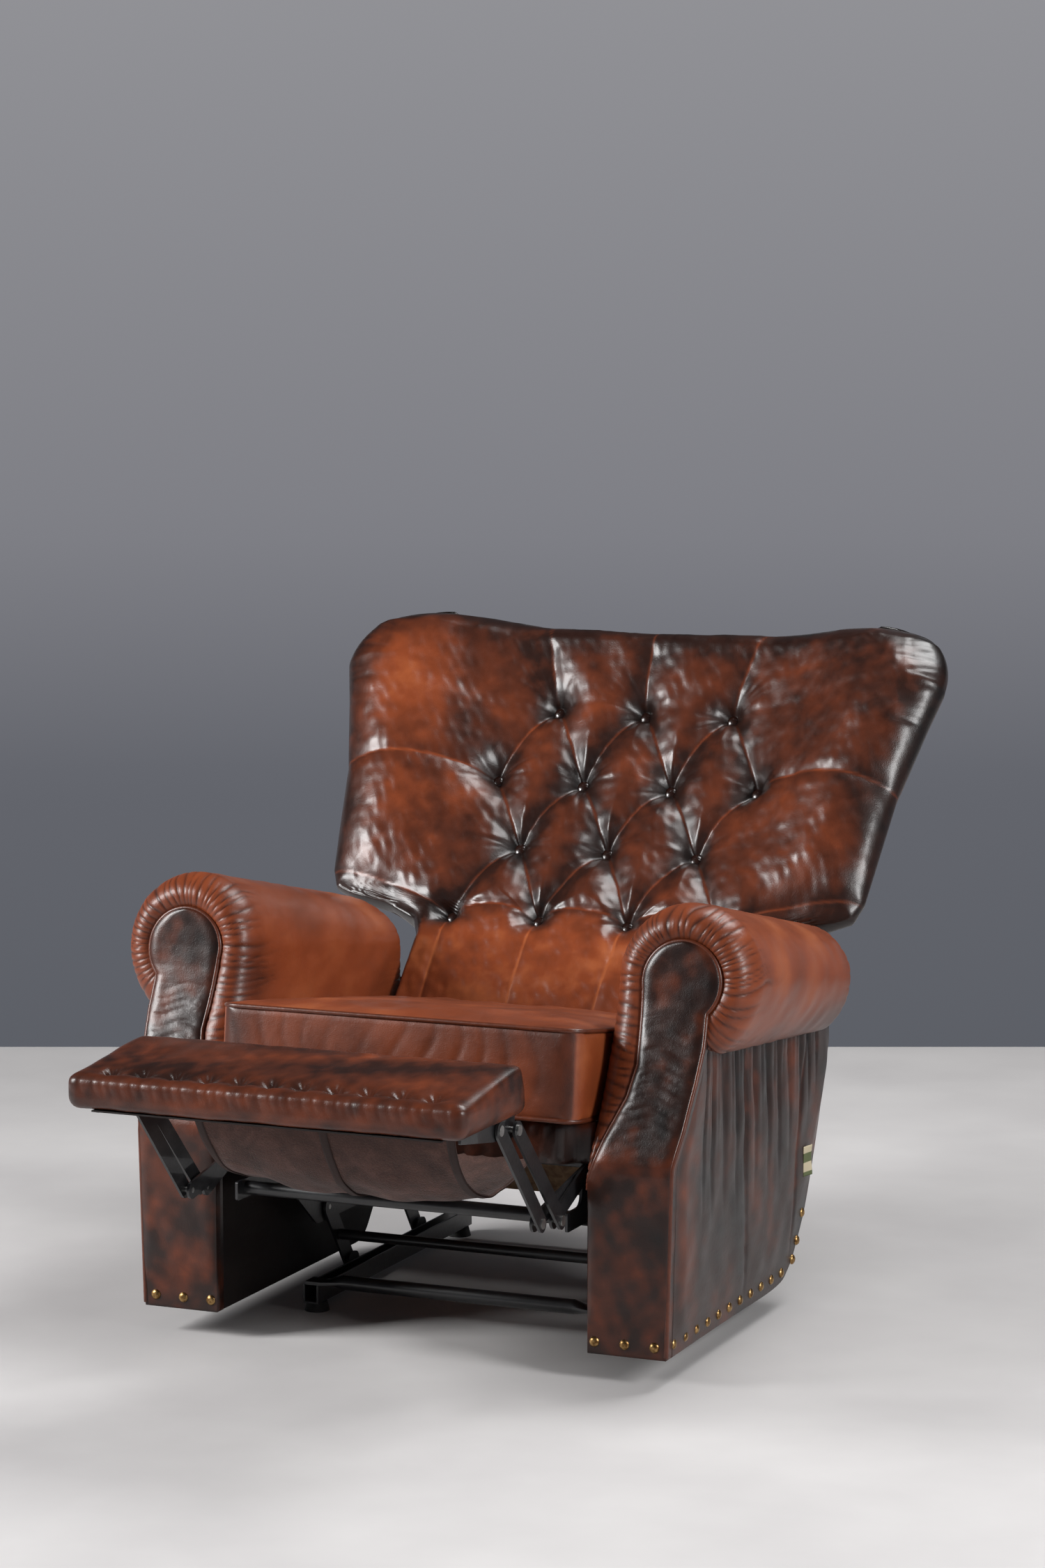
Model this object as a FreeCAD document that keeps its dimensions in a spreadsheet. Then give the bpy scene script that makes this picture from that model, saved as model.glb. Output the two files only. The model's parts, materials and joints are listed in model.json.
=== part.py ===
"""Recliner armchair: a rolled-arm, button-back leather chair on a steel glider mechanism.

It stands fully opened: footrest out, body glided forward over its base, back laid down.
Lengths are millimetres. +X is to the right of somebody who faces the chair, +Y runs to
the rear and +Z up. The outlines are drawn from the plane of the arm fronts (y = 0) and
the whole chair is then shifted so that its origin is the middle of its floor area.
"""
import FreeCAD
import Part
import Sketcher
import math
import os

from FreeCAD import Placement, Rotation, Vector

SIZES = {
    "shift_back": 346.2,         # arm fronts to the middle of the chair, along Y
    # base that stays on the floor
    "rail_front": 190, "rail_rear": 760, "rail_inner": 220, "rail_width": 25,
    "rail_bottom": 14, "rail_height": 28, "rail_wall": 3,
    "front_tube_y": 207, "rear_tube_y": 735, "cross_tube_diameter": 22,
    "foot_height": 14, "foot_diameter": 38, "foot_neck_diameter": 31,
    # plates and pins of the mechanism
    "plate": 4, "pin_diameter": 8, "pin_clearance": 0.05, "open_pivot_clearance": 0.5,
    "head_diameter": 15, "head_height": 2, "flat_head_height": 1,
    "link_width": 25, "rocker_width": 30,
    "bracket_plane": 245, "rocker_plane": 250.5, "carriage_plane": 256,
    "lower_plane": 261.5, "control_plane": 267, "upper_plane": 272.5, "stay_plane": 278,
    # glide: four rockers lean forward between the base and the carriage
    "rocker_foot_y": 368, "rocker_foot_z": 38, "rocker_head_y": 296, "rocker_head_z": 138,
    "rocker_spacing": 250, "rocker_tie_diameter": 16,
    # footrest linkage, opened
    "lower_pivot_y": 90, "lower_pivot_z": 290, "knee_y": -128, "knee_z": 250,
    "board_pivot_y": -272, "board_pivot_z": 407,
    "control_pivot_y": 133.1, "control_pivot_z": 320.4,
    "control_knee_y": -71.6, "control_knee_z": 242.9,
    "board_stay_y": -225.3, "board_stay_z": 399.7,
    "drive_tube_diameter": 16,
    # footrest board
    "board_half_width": 282, "board_front": -432, "board_rear": -222,
    "board_underside": 421, "board_thickness": 15, "footpad_height": 38, "footpad_overhang": 4,
    "flap_half_width": 235, "flap_thickness": 3,
    # carriage and seat
    "carriage_tube_diameter": 20, "seat_slope": 6.5, "seat_rail_width": 26, "seat_rail_height": 40,
    "seat_rail_outer": 256, "seat_front": 52, "seat_depth": 500, "seat_frame_top": 356,
    "spring_wire": 3.8, "cushion_half_width": 283, "cushion_front": -22, "cushion_depth": 534,
    "cushion_bottom": 366, "cushion_height": 104, "cushion_corner": 26,
    "apron_y": 34, "apron_thickness": 14, "apron_bottom": 314, "apron_top": 346,
    "tie_board_y": 590, "tie_board_thickness": 14, "tie_board_bottom": 120, "tie_board_height": 110,
    # arms
    "arm_inner": 291, "arm_outer": 407, "arm_outer_face": 395, "skin": 12, "arm_bottom": 40,
    "front_panel_thickness": 20, "scroll_x": 391, "scroll_y": 112, "scroll_z": 556,
    "scroll_radius": 57, "roll_radius": 104, "roll_rear_radius": 78,
    "roll_rear_y": 645, "roll_rear_z": 487,
    "front_nail": 15, "side_nail": 13, "nail_pitch": 45, "nail_line": 57,
    "label_width": 26, "label_height": 46, "label_thickness": 1.5,
    # back: measured up its slope and out from it, from where it meets the seat
    "recline_y": 590, "recline_z": 328, "back_foot_y": 551, "back_foot_z": 415, "back_lean": 42,
    "back_frame_depth": 28, "back_frame_out": -124, "back_stile_width": 42, "back_stile_outer": 261,
    "back_frame_foot": 20, "back_frame_head": 640, "back_half_width": 250,
    "outer_panel_thickness": 6, "button_diameter": 24, "button_height": 8,
    "button_pitch": 150,
}

doc = FreeCAD.newDocument("ReclinerArmchair")
sheet = doc.addObject("Spreadsheet::Sheet", "Sizes")
for row, (name, value) in enumerate(SIZES.items(), start=1):
    sheet.set(f"A{row}", name)
    sheet.set(f"B{row}", str(value))
    sheet.setAlias(f"B{row}", name)
doc.recompute()

SIDES = {"left": -1, "right": 1}
subparts = []


def size(name):
    """A driving dimension, read from the sheet."""
    return float(sheet.get(name))


def point(name):
    """A pivot as (y, z), from its two cells."""
    return size(name + "_y"), size(name + "_z")


def keep(piece, label):
    """Name a sub-part and list it for export."""
    piece.Label = label
    subparts.append(piece)
    return piece


def place(piece, x="0", y="0", z="0", turn=None):
    """Put a piece at a position given by expressions, then shift it to the chair's origin."""
    if turn:
        piece.Placement = Placement(Vector(0, 0, 0), turn)
    piece.setExpression("Placement.Base.x", x)
    piece.setExpression("Placement.Base.y", f"({y}) - Sizes.shift_back")
    piece.setExpression("Placement.Base.z", z)


def box(label, spans, corner, turn=None):
    """A rectangular piece: lengths along X, Y and Z and its lowest corner, as expressions."""
    piece = doc.addObject("Part::Box", label)
    for prop, text in zip(("Length", "Width", "Height"), spans):
        piece.setExpression(prop, text)
    place(piece, *corner, turn=turn)
    return keep(piece, label)


def mirrored_low(sign, inner, width):
    """Lowest X of a piece that starts at `inner` and is `width` wide, on one side."""
    return f"{inner}" if sign > 0 else f"-({inner}) - ({width})"


def cross_bar(name, diameter, half_length, y, z):
    """A round bar across the chair, centred on it: every argument but the name is an expression."""
    bar = doc.addObject("Part::Cylinder", name)
    bar.setExpression("Radius", f"({diameter}) / 2")
    bar.setExpression("Height", f"2 * ({half_length})")
    place(bar, f"-({half_length})", y, z, Rotation(Vector(0, 1, 0), 90))
    return bar


def rounded_outline(corners):
    """Edges of a closed polygon whose corners, (u, v, radius), are rounded by tangent arcs."""
    count = len(corners)
    spots = []
    for index, (u, v, radius) in enumerate(corners):
        here = Vector(u, v, 0)
        before = (Vector(*corners[index - 1][:2], 0) - here).normalize()
        after = (Vector(*corners[(index + 1) % count][:2], 0) - here).normalize()
        half_angle = before.getAngle(after) / 2
        setback = radius / math.tan(half_angle)
        start, end = here + before * setback, here + after * setback
        bisector = (before + after).normalize()
        middle = here + bisector * (radius / math.sin(half_angle) - radius)
        spots.append((start, middle, end, radius))
    edges = []
    for index, (start, middle, end, radius) in enumerate(spots):
        if radius > 0:
            edges.append(Part.Arc(start, middle, end))
        following = spots[(index + 1) % count][0]
        if end.distanceToPoint(following) > 1e-6:
            edges.append(Part.LineSegment(end, following))
    return edges


def link_outline(ends, width):
    """Edges of a flat link with round ends through two or more pivots in a row."""
    (u0, v0), (u1, v1) = ends[0], ends[-1]
    along = Vector(u1 - u0, v1 - v0, 0).normalize()
    across = Vector(-along.y, along.x, 0) * (width / 2)
    reach = along * (width / 2)
    first, last = Vector(u0, v0, 0), Vector(u1, v1, 0)
    return [Part.LineSegment(first + across, last + across),
            Part.Arc(last + across, last + reach, last - across),
            Part.LineSegment(last - across, first - across),
            Part.Arc(first - across, first - reach, first + across)]


def pad_body(label, edges, holes, plane, thickness):
    """A body whose sketch on an origin plane is padded.

    Each hole is (u, v, the cell of its pin) and may name another cell for its clearance.
    """
    body = doc.addObject("PartDesign::Body", label)
    sketch = body.newObject("Sketcher::SketchObject", label + "_sketch")
    support = next(o for o in body.Origin.OriginFeatures if o.Role == plane)
    sketch.AttachmentSupport = (support, [""])
    sketch.MapMode = "FlatFace"
    sketch.addGeometry(edges, False)
    for number, (u, v, diameter, *other) in enumerate(holes):
        clearance = other[0] if other else "pin_clearance"
        circle = Part.Circle(Vector(u, v, 0), Vector(0, 0, 1), size(diameter) / 2)
        index = sketch.addGeometry(circle, False)
        name = f"hole_{number}"
        constraint = sketch.addConstraint(Sketcher.Constraint("Radius", index, size(diameter) / 2))
        sketch.renameConstraint(constraint, name)
        sketch.setExpression(f"Constraints.{name}", f"Sizes.{diameter} / 2 + Sizes.{clearance}")
    pad = body.newObject("PartDesign::Pad", label + "_pad")
    pad.Profile = sketch
    pad.setExpression("Length", thickness)
    return body


def plate(label, edges, holes, sign, plane_cell, thickness="Sizes.plate"):
    """An upright plate parallel to YZ whose inner face lies at a named plane."""
    body = pad_body(label, edges, holes, "YZ_Plane", thickness)
    place(body, mirrored_low(sign, f"Sizes.{plane_cell}", thickness))
    return keep(body, label)


def feature(label, shape):
    """A sub-part with a free shape, drawn from the arm fronts and shifted to the origin."""
    piece = doc.addObject("Part::Feature", label)
    piece.Shape = shape
    piece.Placement = Placement(Vector(0, -size("shift_back"), 0), Rotation()) * shape.Placement
    return keep(piece, label)


def group(label, pieces):
    """Several like pieces kept in one node."""
    joined = doc.addObject("Part::Compound", label)
    joined.Links = pieces
    return keep(joined, label)


def prism(corners, x_low, x_high):
    """A solid between two X planes from its (y, z) corners."""
    ring = [Vector(x_low, y, z) for y, z in corners]
    face = Part.Face(Part.makePolygon(ring + ring[:1]))
    return face.extrude(Vector(x_high - x_low, 0, 0))


def cylinder_x(x_low, x_high, y, z, diameter):
    """A solid round bar from one X to another."""
    return Part.makeCylinder(diameter / 2, x_high - x_low, Vector(x_low, y, z), Vector(1, 0, 0))


def rivet(sign, x_low, x_high, pivot, head_cell="head_height"):
    """A shouldered stud: flush with its innermost plate, headed outside the outermost."""
    gap = 0.2
    outer_end = x_high + gap + size(head_cell)
    shank = cylinder_x(x_low, outer_end, *pivot, size("pin_diameter"))
    head = cylinder_x(x_high + gap, outer_end, *pivot, size("head_diameter"))
    stud = shank.fuse(head).removeSplitter()
    return stud if sign > 0 else stud.mirror(Vector(), Vector(1, 0, 0))


def between(profile, value):
    """Second coordinate of a profile of (first, second) points, at a first coordinate."""
    for (first, low), (last, high) in zip(profile, profile[1:]):
        if first <= value <= last:
            return low + (high - low) * (value - first) / (last - first)
    raise ValueError(f"{value} is outside the profile")


def build_base():
    """Two channel rails, two cross tubes with flattened ends, four feet and the rocker ears."""
    width, height, wall = size("rail_width"), size("rail_height"), size("rail_wall")
    bottom = size("rail_bottom")
    top = bottom + height
    channel = [(0, bottom, 1), (width, bottom, 1), (width, top, 1), (width - wall, top, 1),
               (width - wall, bottom + wall, 0.5), (wall, bottom + wall, 0.5), (wall, top, 1),
               (0, top, 1)]
    for side, sign in SIDES.items():
        rail = pad_body(f"base_rail_{side}", rounded_outline(channel), [], "XZ_Plane",
                        "Sizes.rail_rear - Sizes.rail_front")
        place(rail, mirrored_low(sign, "Sizes.rail_inner", "Sizes.rail_width"), "Sizes.rail_rear")
        keep(rail, f"base_rail_{side}")
    for end in ("front", "rear"):
        feature(f"{end}_cross_tube", flattened_tube(size(f"{end}_tube_y")))

    feet = []
    inset = size("foot_diameter") / 2 + 3
    for sign in SIDES.values():
        for edge in (f"Sizes.rail_front + {inset}", f"Sizes.rail_rear - {inset}"):
            foot = doc.addObject("Part::Cone", "foot")
            foot.setExpression("Radius1", "Sizes.foot_diameter / 2")
            foot.setExpression("Radius2", "Sizes.foot_neck_diameter / 2")
            foot.setExpression("Height", "Sizes.foot_height")
            place(foot, f"{sign} * (Sizes.rail_inner + Sizes.rail_width / 2)", edge)
            feet.append(foot)
    group("rubber_feet", feet)

    foot_y, foot_z = point("rocker_foot")
    ears, pins = [], []
    for sign in SIDES.values():
        for y in (foot_y, foot_y + size("rocker_spacing")):
            corners = [(y - 30, bottom + 6, 2), (y + 30, bottom + 6, 2),
                       (y + 14, foot_z + 15, 12), (y - 14, foot_z + 15, 12)]
            ear = pad_body("rocker_ear", rounded_outline(corners), [(y, foot_z, "pin_diameter")],
                           "YZ_Plane", "Sizes.plate")
            place(ear, mirrored_low(sign, "Sizes.bracket_plane", "Sizes.plate"))
            ears.append(ear)
            pins.append(rivet(sign, size("bracket_plane"), size("rocker_plane") + size("plate"),
                              (y, foot_z)))
    group("rocker_ears", ears)
    feature("rocker_foot_pins", Part.makeCompound(pins))


def flattened_tube(y):
    """A round tube whose two ends are pressed flat between the walls of the rails."""
    radius = size("cross_tube_diameter") / 2
    low = size("rail_bottom") + size("rail_height")
    centre = low + radius - 6
    end_x = size("rail_inner") + size("rail_width") - 2
    round_half = size("rail_inner") - 34
    tube = cylinder_x(-round_half, round_half, y, centre, 2 * radius)
    flat_width, flat_height = 30.0, 5.0
    solids = []
    for sign in SIDES.values():
        start = Vector(sign * round_half, y, centre)
        circle = Part.Wire(Part.Circle(start, Vector(1, 0, 0), radius).toShape())
        neck_x, tip_x = sign * (size("rail_inner") - 2), sign * end_x
        ring = [Vector(neck_x, y - flat_width / 2, low), Vector(neck_x, y + flat_width / 2, low),
                Vector(neck_x, y + flat_width / 2, low + flat_height),
                Vector(neck_x, y - flat_width / 2, low + flat_height)]
        oblong = Part.makePolygon(ring + ring[:1])
        solids.append(Part.makeLoft([circle, oblong], True, True))
        solids.append(Part.Face(oblong).extrude(Vector(tip_x - neck_x, 0, 0)))
    return tube.fuse(solids)


def build_rockers():
    """Front and rear pairs of rockers, each pair tied across by a tube."""
    foot, head = point("rocker_foot"), point("rocker_head")
    for end, offset in (("front", 0), ("rear", size("rocker_spacing"))):
        ends = [(foot[0] + offset, foot[1]), (head[0] + offset, head[1])]
        holes = [(y, z, "pin_diameter") for y, z in ends]
        if end == "front":
            holes[1] += ("open_pivot_clearance",)
        for side, sign in SIDES.items():
            plate(f"{end}_rocker_{side}", link_outline(ends, size("rocker_width")), holes,
                  sign, "rocker_plane")
        tie = cross_bar(f"{end}_rocker_tie", "Sizes.rocker_tie_diameter", "Sizes.rocker_plane",
                        f"(Sizes.rocker_foot_y + Sizes.rocker_head_y) / 2 + {offset}",
                        "(Sizes.rocker_foot_z + Sizes.rocker_head_z) / 2")
        keep(tie, f"{end}_rocker_tie")


def build_carriage():
    """Side plates that carry every pivot, their cross tubes and the pins fixed in them."""
    head_y, head_z = point("rocker_head")
    rear_head = head_y + size("rocker_spacing")
    outline = [(0, 208, 4), (150, 208, 30), (262, 118, 20), (560, 118, 14), (582, 160, 14),
               (582, 245, 14), (628, 296, 14), (628, 344, 16), (560, 344, 16), (520, 268, 30),
               (190, 268, 20), (160, 340, 14), (110, 340, 14), (66, 306, 14), (50, 236, 14),
               (0, 236, 4)]
    pivots = [(head_y, head_z), (rear_head, head_z), point("control_pivot"), point("recline")]
    holes = [(y, z, "pin_diameter") for y, z in pivots]
    holes.append((*point("lower_pivot"), "drive_tube_diameter"))
    for side, sign in SIDES.items():
        plate(f"carriage_plate_{side}", rounded_outline(outline), holes, sign, "carriage_plane")
    tubes = [cross_bar("carriage_tube", "Sizes.carriage_tube_diameter", "Sizes.carriage_plane",
                       y, z) for y, z in (("30", "222"), ("470", "220"))]
    group("carriage_cross_tubes", tubes)

    pins = []
    thickness = size("plate")
    for sign in SIDES.values():
        for pivot in pivots[:2]:
            pins.append(rivet(sign, size("rocker_plane"), size("carriage_plane") + thickness, pivot))
        pins.append(rivet(sign, size("carriage_plane"), size("control_plane") + thickness, pivots[2]))
        pins.append(rivet(sign, size("carriage_plane"), size("lower_plane") + thickness, pivots[3]))
    feature("carriage_pins", Part.makeCompound(pins))


def build_footrest():
    """Two link chains on each side, the drive tube, the board with its pad and the calf flap."""
    lower, knee, board_pivot = point("lower_pivot"), point("knee"), point("board_pivot")
    control, control_knee, stay = point("control_pivot"), point("control_knee"), point("board_stay")
    width, thickness = size("link_width"), size("plate")
    underside = size("board_underside")
    bracket = [(board_pivot[0] - 120, underside, 2), (board_pivot[0] - 120, underside - 10, 2),
               (board_pivot[0] - 14, board_pivot[1] - 13, 10), (stay[0] + 12, stay[1] - 13, 12),
               (stay[0] + 12, underside, 2)]
    for side, sign in SIDES.items():
        plate(f"lower_link_{side}", link_outline([lower, knee], width),
              [(*lower, "drive_tube_diameter"), (*knee, "pin_diameter")], sign, "lower_plane")
        plate(f"upper_link_{side}", link_outline([knee, board_pivot], width),
              [(*knee, "pin_diameter"), (*board_pivot, "pin_diameter")], sign, "upper_plane")
        plate(f"control_link_{side}", link_outline([control, control_knee], width),
              [(*control, "pin_diameter"), (*control_knee, "pin_diameter")], sign, "control_plane")
        plate(f"stay_link_{side}", link_outline([control_knee, stay], width),
              [(*control_knee, "pin_diameter"), (*stay, "pin_diameter", "open_pivot_clearance")],
              sign, "stay_plane")
        plate(f"footrest_bracket_{side}", rounded_outline(bracket),
              [(*board_pivot, "pin_diameter"), (*stay, "pin_diameter")], sign, "control_plane")
    drive = cross_bar("drive_tube", "Sizes.drive_tube_diameter", "Sizes.lower_plane + Sizes.plate",
                      "Sizes.lower_pivot_y", "Sizes.lower_pivot_z")
    keep(drive, "drive_tube")

    knees, control_knees, board_pins = [], [], []
    for sign in SIDES.values():
        knees.append(rivet(sign, size("lower_plane"), size("upper_plane") + thickness, knee,
                           "flat_head_height"))
        control_knees.append(rivet(sign, size("control_plane"), size("stay_plane") + thickness,
                                   control_knee))
        board_pins.append(rivet(sign, size("control_plane"), size("upper_plane") + thickness,
                                board_pivot, "flat_head_height"))
        board_pins.append(rivet(sign, size("control_plane"), size("stay_plane") + thickness, stay))
    feature("knee_pins", Part.makeCompound(knees))
    feature("control_knee_pins", Part.makeCompound(control_knees))
    feature("board_pins", Part.makeCompound(board_pins))

    span = "2 * Sizes.board_half_width"
    depth = "Sizes.board_rear - Sizes.board_front"
    box("footrest_board", (span, depth, "Sizes.board_thickness"),
        ("-Sizes.board_half_width", "Sizes.board_front", "Sizes.board_underside"))
    half = size("board_half_width") + size("footpad_overhang")
    front = size("board_front") - size("footpad_overhang")
    low = size("board_underside") + size("board_thickness")
    pad = Part.makeBox(2 * half, size("board_rear") + 2 - front, size("footpad_height"),
                       Vector(-half, front, low))
    feature("footrest_pad", pad.makeFillet(12, pad.Edges))

    half = size("flap_half_width")
    sag = [(-262, 416), (-226, 345), (-176, 292), (-112, 270), (-48, 278), (8, 300), (32, 322)]
    feature("calf_flap", ribbon(sag, size("flap_thickness"), half))


def ribbon(path, thickness, half_width):
    """A sheet across the chair that follows a (y, z) path."""
    lines = [Vector(0, y, z) for y, z in path]
    upper, lower = [], []
    for index, spot in enumerate(lines):
        before, after = lines[max(index - 1, 0)], lines[min(index + 1, len(lines) - 1)]
        along = (after - before).normalize()
        out = Vector(0, -along.z, along.y) * (thickness / 2)
        upper.append((spot.y + out.y, spot.z + out.z))
        lower.append((spot.y - out.y, spot.z - out.z))
    return prism(upper + lower[::-1], -half_width, half_width)


def build_seat():
    """Sloping timber frame, sinuous springs, cushion and the boards that tie the arms."""
    slope = Rotation(Vector(1, 0, 0), -size("seat_slope"))
    outer, width = "Sizes.seat_rail_outer", "Sizes.seat_rail_width"
    height, depth = "Sizes.seat_rail_height", "Sizes.seat_depth"
    base_z = "(Sizes.seat_frame_top - Sizes.seat_rail_height)"
    rails = []
    for x, y, spans in ((f"-{outer}", "0", (width, depth)),
                        (f"{outer} - {width}", "0", (width, depth)),
                        (f"{width} - {outer}", "0", (f"2 * ({outer} - {width})", width)),
                        (f"{width} - {outer}", f"({depth} - {width})",
                         (f"2 * ({outer} - {width})", width))):
        rail = doc.addObject("Part::Box", "seat_rail")
        for prop, text in zip(("Length", "Width", "Height"), (*spans, height)):
            rail.setExpression(prop, text)
        place(rail, x, f"Sizes.seat_front + {y} * cos(Sizes.seat_slope * 1deg)",
              f"{base_z} - {y} * sin(Sizes.seat_slope * 1deg)", slope)
        rails.append(rail)
    group("seat_frame", rails)

    clip = 3.0
    length = size("seat_depth") - 2 * size("seat_rail_width") - 2 * clip
    wires = [sinuous_spring(column * 82.0, length) for column in range(-2, 3)]
    springs = Part.makeCompound(wires)
    corner = Vector(0, size("seat_front"), size("seat_frame_top") - size("seat_rail_height"))
    start = Vector(0, size("seat_rail_width") + clip, size("seat_rail_height") - 8)
    springs.Placement = Placement(corner + slope.multVec(start), slope)
    feature("seat_springs", springs)

    half, corner = size("cushion_half_width"), size("cushion_corner")
    cushion = Part.makeBox(2 * half, size("cushion_depth"), size("cushion_height"),
                           Vector(-half, 0, 0))
    cushion = cushion.makeFillet(corner, cushion.Edges)
    cushion.Placement = Placement(Vector(0, size("cushion_front"), size("cushion_bottom")), slope)
    feature("seat_cushion", cushion)

    span = "2 * Sizes.arm_inner"
    box("front_apron", (span, "Sizes.apron_thickness", "Sizes.apron_top - Sizes.apron_bottom"),
        ("-Sizes.arm_inner", "Sizes.apron_y", "Sizes.apron_bottom"))
    box("rear_tie_board", (span, "Sizes.tie_board_thickness", "Sizes.tie_board_height"),
        ("-Sizes.arm_inner", "Sizes.tie_board_y", "Sizes.tie_board_bottom"))


def sinuous_spring(x, length):
    """A zigzag wire spring along +Y: round bends joined by short straight rungs."""
    wire_radius = size("spring_wire") / 2
    bends, half_rung = 14, 16.0
    bend_radius = length / bends / 2
    edges = []
    for index in range(bends):
        sign = 1 if index % 2 else -1
        y = (2 * index + 1) * bend_radius
        start = Vector(x + sign * half_rung, y - bend_radius, 0)
        end = Vector(x + sign * half_rung, y + bend_radius, 0)
        top = Vector(x + sign * (half_rung + bend_radius), y, 0)
        if index == 0:
            edges.append(Part.LineSegment(Vector(x, 0, 0), start).toShape())
        edges.append(Part.Arc(start, top, end).toShape())
        far = x if index == bends - 1 else x - sign * half_rung
        edges.append(Part.LineSegment(end, Vector(far, end.y, 0)).toShape())
    path = Part.Wire(edges)
    ring = Part.Wire(Part.Circle(Vector(x, 0, 0), Vector(-1, 0, 0), wire_radius).toShape())
    return path.makePipeShell([ring], True, False)


def build_arms():
    """On each side an outer and inner panel, a keyhole-shaped front and the padded roll."""
    inner, outer, skin = size("arm_inner"), size("arm_outer"), size("skin")
    floor = size("arm_bottom")
    scroll = Vector(size("scroll_x"), size("scroll_y"), size("scroll_z"))
    front = [(front_face(level) + size("front_panel_thickness") + 0.3, level, 0)
             for level in (440, 318, floor)]
    side_outline = [*front, (520, floor, 70), (604, 150, 40), (700, 372, 6), (634, 384, 0)]
    inner_outline = [*front, (500, floor, 60), (590, 150, 40), (612, 230, 0), (560, 390, 0)]
    for side, sign in SIDES.items():
        plate(f"side_panel_{side}", rounded_outline(side_outline), [], sign, "arm_outer_face",
              "Sizes.skin")
        plate(f"inner_panel_{side}", rounded_outline(inner_outline), [], sign, "arm_inner",
              "Sizes.skin")
        feature(f"front_panel_{side}", front_panel(sign))
        feature(f"arm_roll_{side}", arm_roll(sign, scroll))

    nails = []
    line = size("nail_line")
    for sign in SIDES.values():
        for column in range(3):
            x = sign * (outer - 16 - column * size("nail_pitch"))
            nails.append(nail(Vector(x, 0, line), Vector(0, -1, 0), size("front_nail")))
        for y, z in nail_route(line):
            nails.append(nail(Vector(sign * outer, y, z), Vector(sign, 0, 0), size("side_nail")))
    feature("decorative_nails", Part.makeCompound(nails))
    box("woven_label", ("Sizes.label_thickness", "Sizes.label_width", "Sizes.label_height"),
        ("Sizes.arm_outer", "566", "186"))


def nail_route(line):
    """Places of the nails of one side panel: along its foot, then up round its rear corner."""
    pitch = size("nail_pitch")
    places = [(30 + index * pitch, line) for index in range(11)]
    bend_centre, bend_radius = Vector(474, 110, 0), 53
    for degrees in (-55, -20):
        turn = math.radians(degrees)
        places.append((bend_centre.x + bend_radius * math.cos(turn) + 26,
                       bend_centre.y + bend_radius * math.sin(turn)))
    places.append((572, 130))
    return places


def nail(seat, out, diameter):
    """A domed nail head that lies on a face and looks along `out`."""
    radius = diameter / 2
    rise = radius * 0.6
    ball = (radius * radius + rise * rise) / (2 * rise)
    latitude = math.degrees(math.asin((ball - rise) / ball))
    return Part.makeSphere(ball, seat - out * (ball - rise), out, latitude, 90, 360)


def front_face(level):
    """How far back the arm's front stands at a height: upright, then leaning to the scroll."""
    top = size("scroll_z") + size("scroll_radius")
    return between([(size("arm_bottom"), 0), (318, 2), (500, 92), (top, size("scroll_y"))], level)


def front_panel(sign):
    """The arm's front: a keyhole outline that leans back above the shoulder."""
    inner, outer, floor = size("arm_inner"), size("arm_outer"), size("arm_bottom")
    x, z, radius = size("scroll_x"), size("scroll_z"), size("scroll_radius")
    neck_half, neck_z = 44.0, z - 44.0
    left, right = Vector(x - neck_half, 0, neck_z), Vector(x + neck_half, 0, neck_z)
    points = [Vector(right.x, 0, 470), Vector(outer + 17, 0, 360), Vector(outer + 8, 0, 310),
              Vector(outer, 0, floor), Vector(inner, 0, floor), Vector(inner, 0, 285),
              Vector(inner + 20, 0, 345), Vector(left.x, 0, 430)]
    ring = [right, *points, left]
    edges = [Part.LineSegment(a, b).toShape() for a, b in zip(ring, ring[1:])]
    edges.append(Part.Arc(left, Vector(x, 0, z + radius), right).toShape())
    outline = Part.Face(Part.Wire(edges)).extrude(Vector(0, 200, 0))
    thickness = size("front_panel_thickness")
    lean = [(front_face(level), level) for level in (floor, 318, 500, z + radius)]
    band = prism(lean + [(y + thickness, level) for y, level in lean[::-1]], 200, 600)
    panel = outline.common(band)
    return panel if sign > 0 else panel.mirror(Vector(), Vector(1, 0, 0))


def arm_roll(sign, scroll):
    """The padded roll: round, thinner and lower towards the rear."""
    start = scroll.y + size("front_panel_thickness") + 0.5
    rear = Vector(size("scroll_x"), size("roll_rear_y"), size("roll_rear_z"))
    first = Vector(scroll.x, start, scroll.z)
    rings = []
    for share in (0.0, 0.5, 1.0):
        centre = first + (rear - first) * share
        radius = size("roll_radius") + (size("roll_rear_radius") - size("roll_radius")) * share
        centre.x *= sign
        rings.append(Part.Wire(Part.Circle(centre, Vector(0, 1, 0), radius).toShape()))
    return Part.makeLoft(rings, True, True)


def on_back(x, up, out):
    """A point of the laid-down back: across, up its slope, and out of its front."""
    lean = math.radians(size("back_lean"))
    foot = Vector(x, size("back_foot_y"), size("back_foot_z"))
    return foot + Vector(0, math.sin(lean), math.cos(lean)) * up \
        + Vector(0, -math.cos(lean), math.sin(lean)) * out


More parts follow.
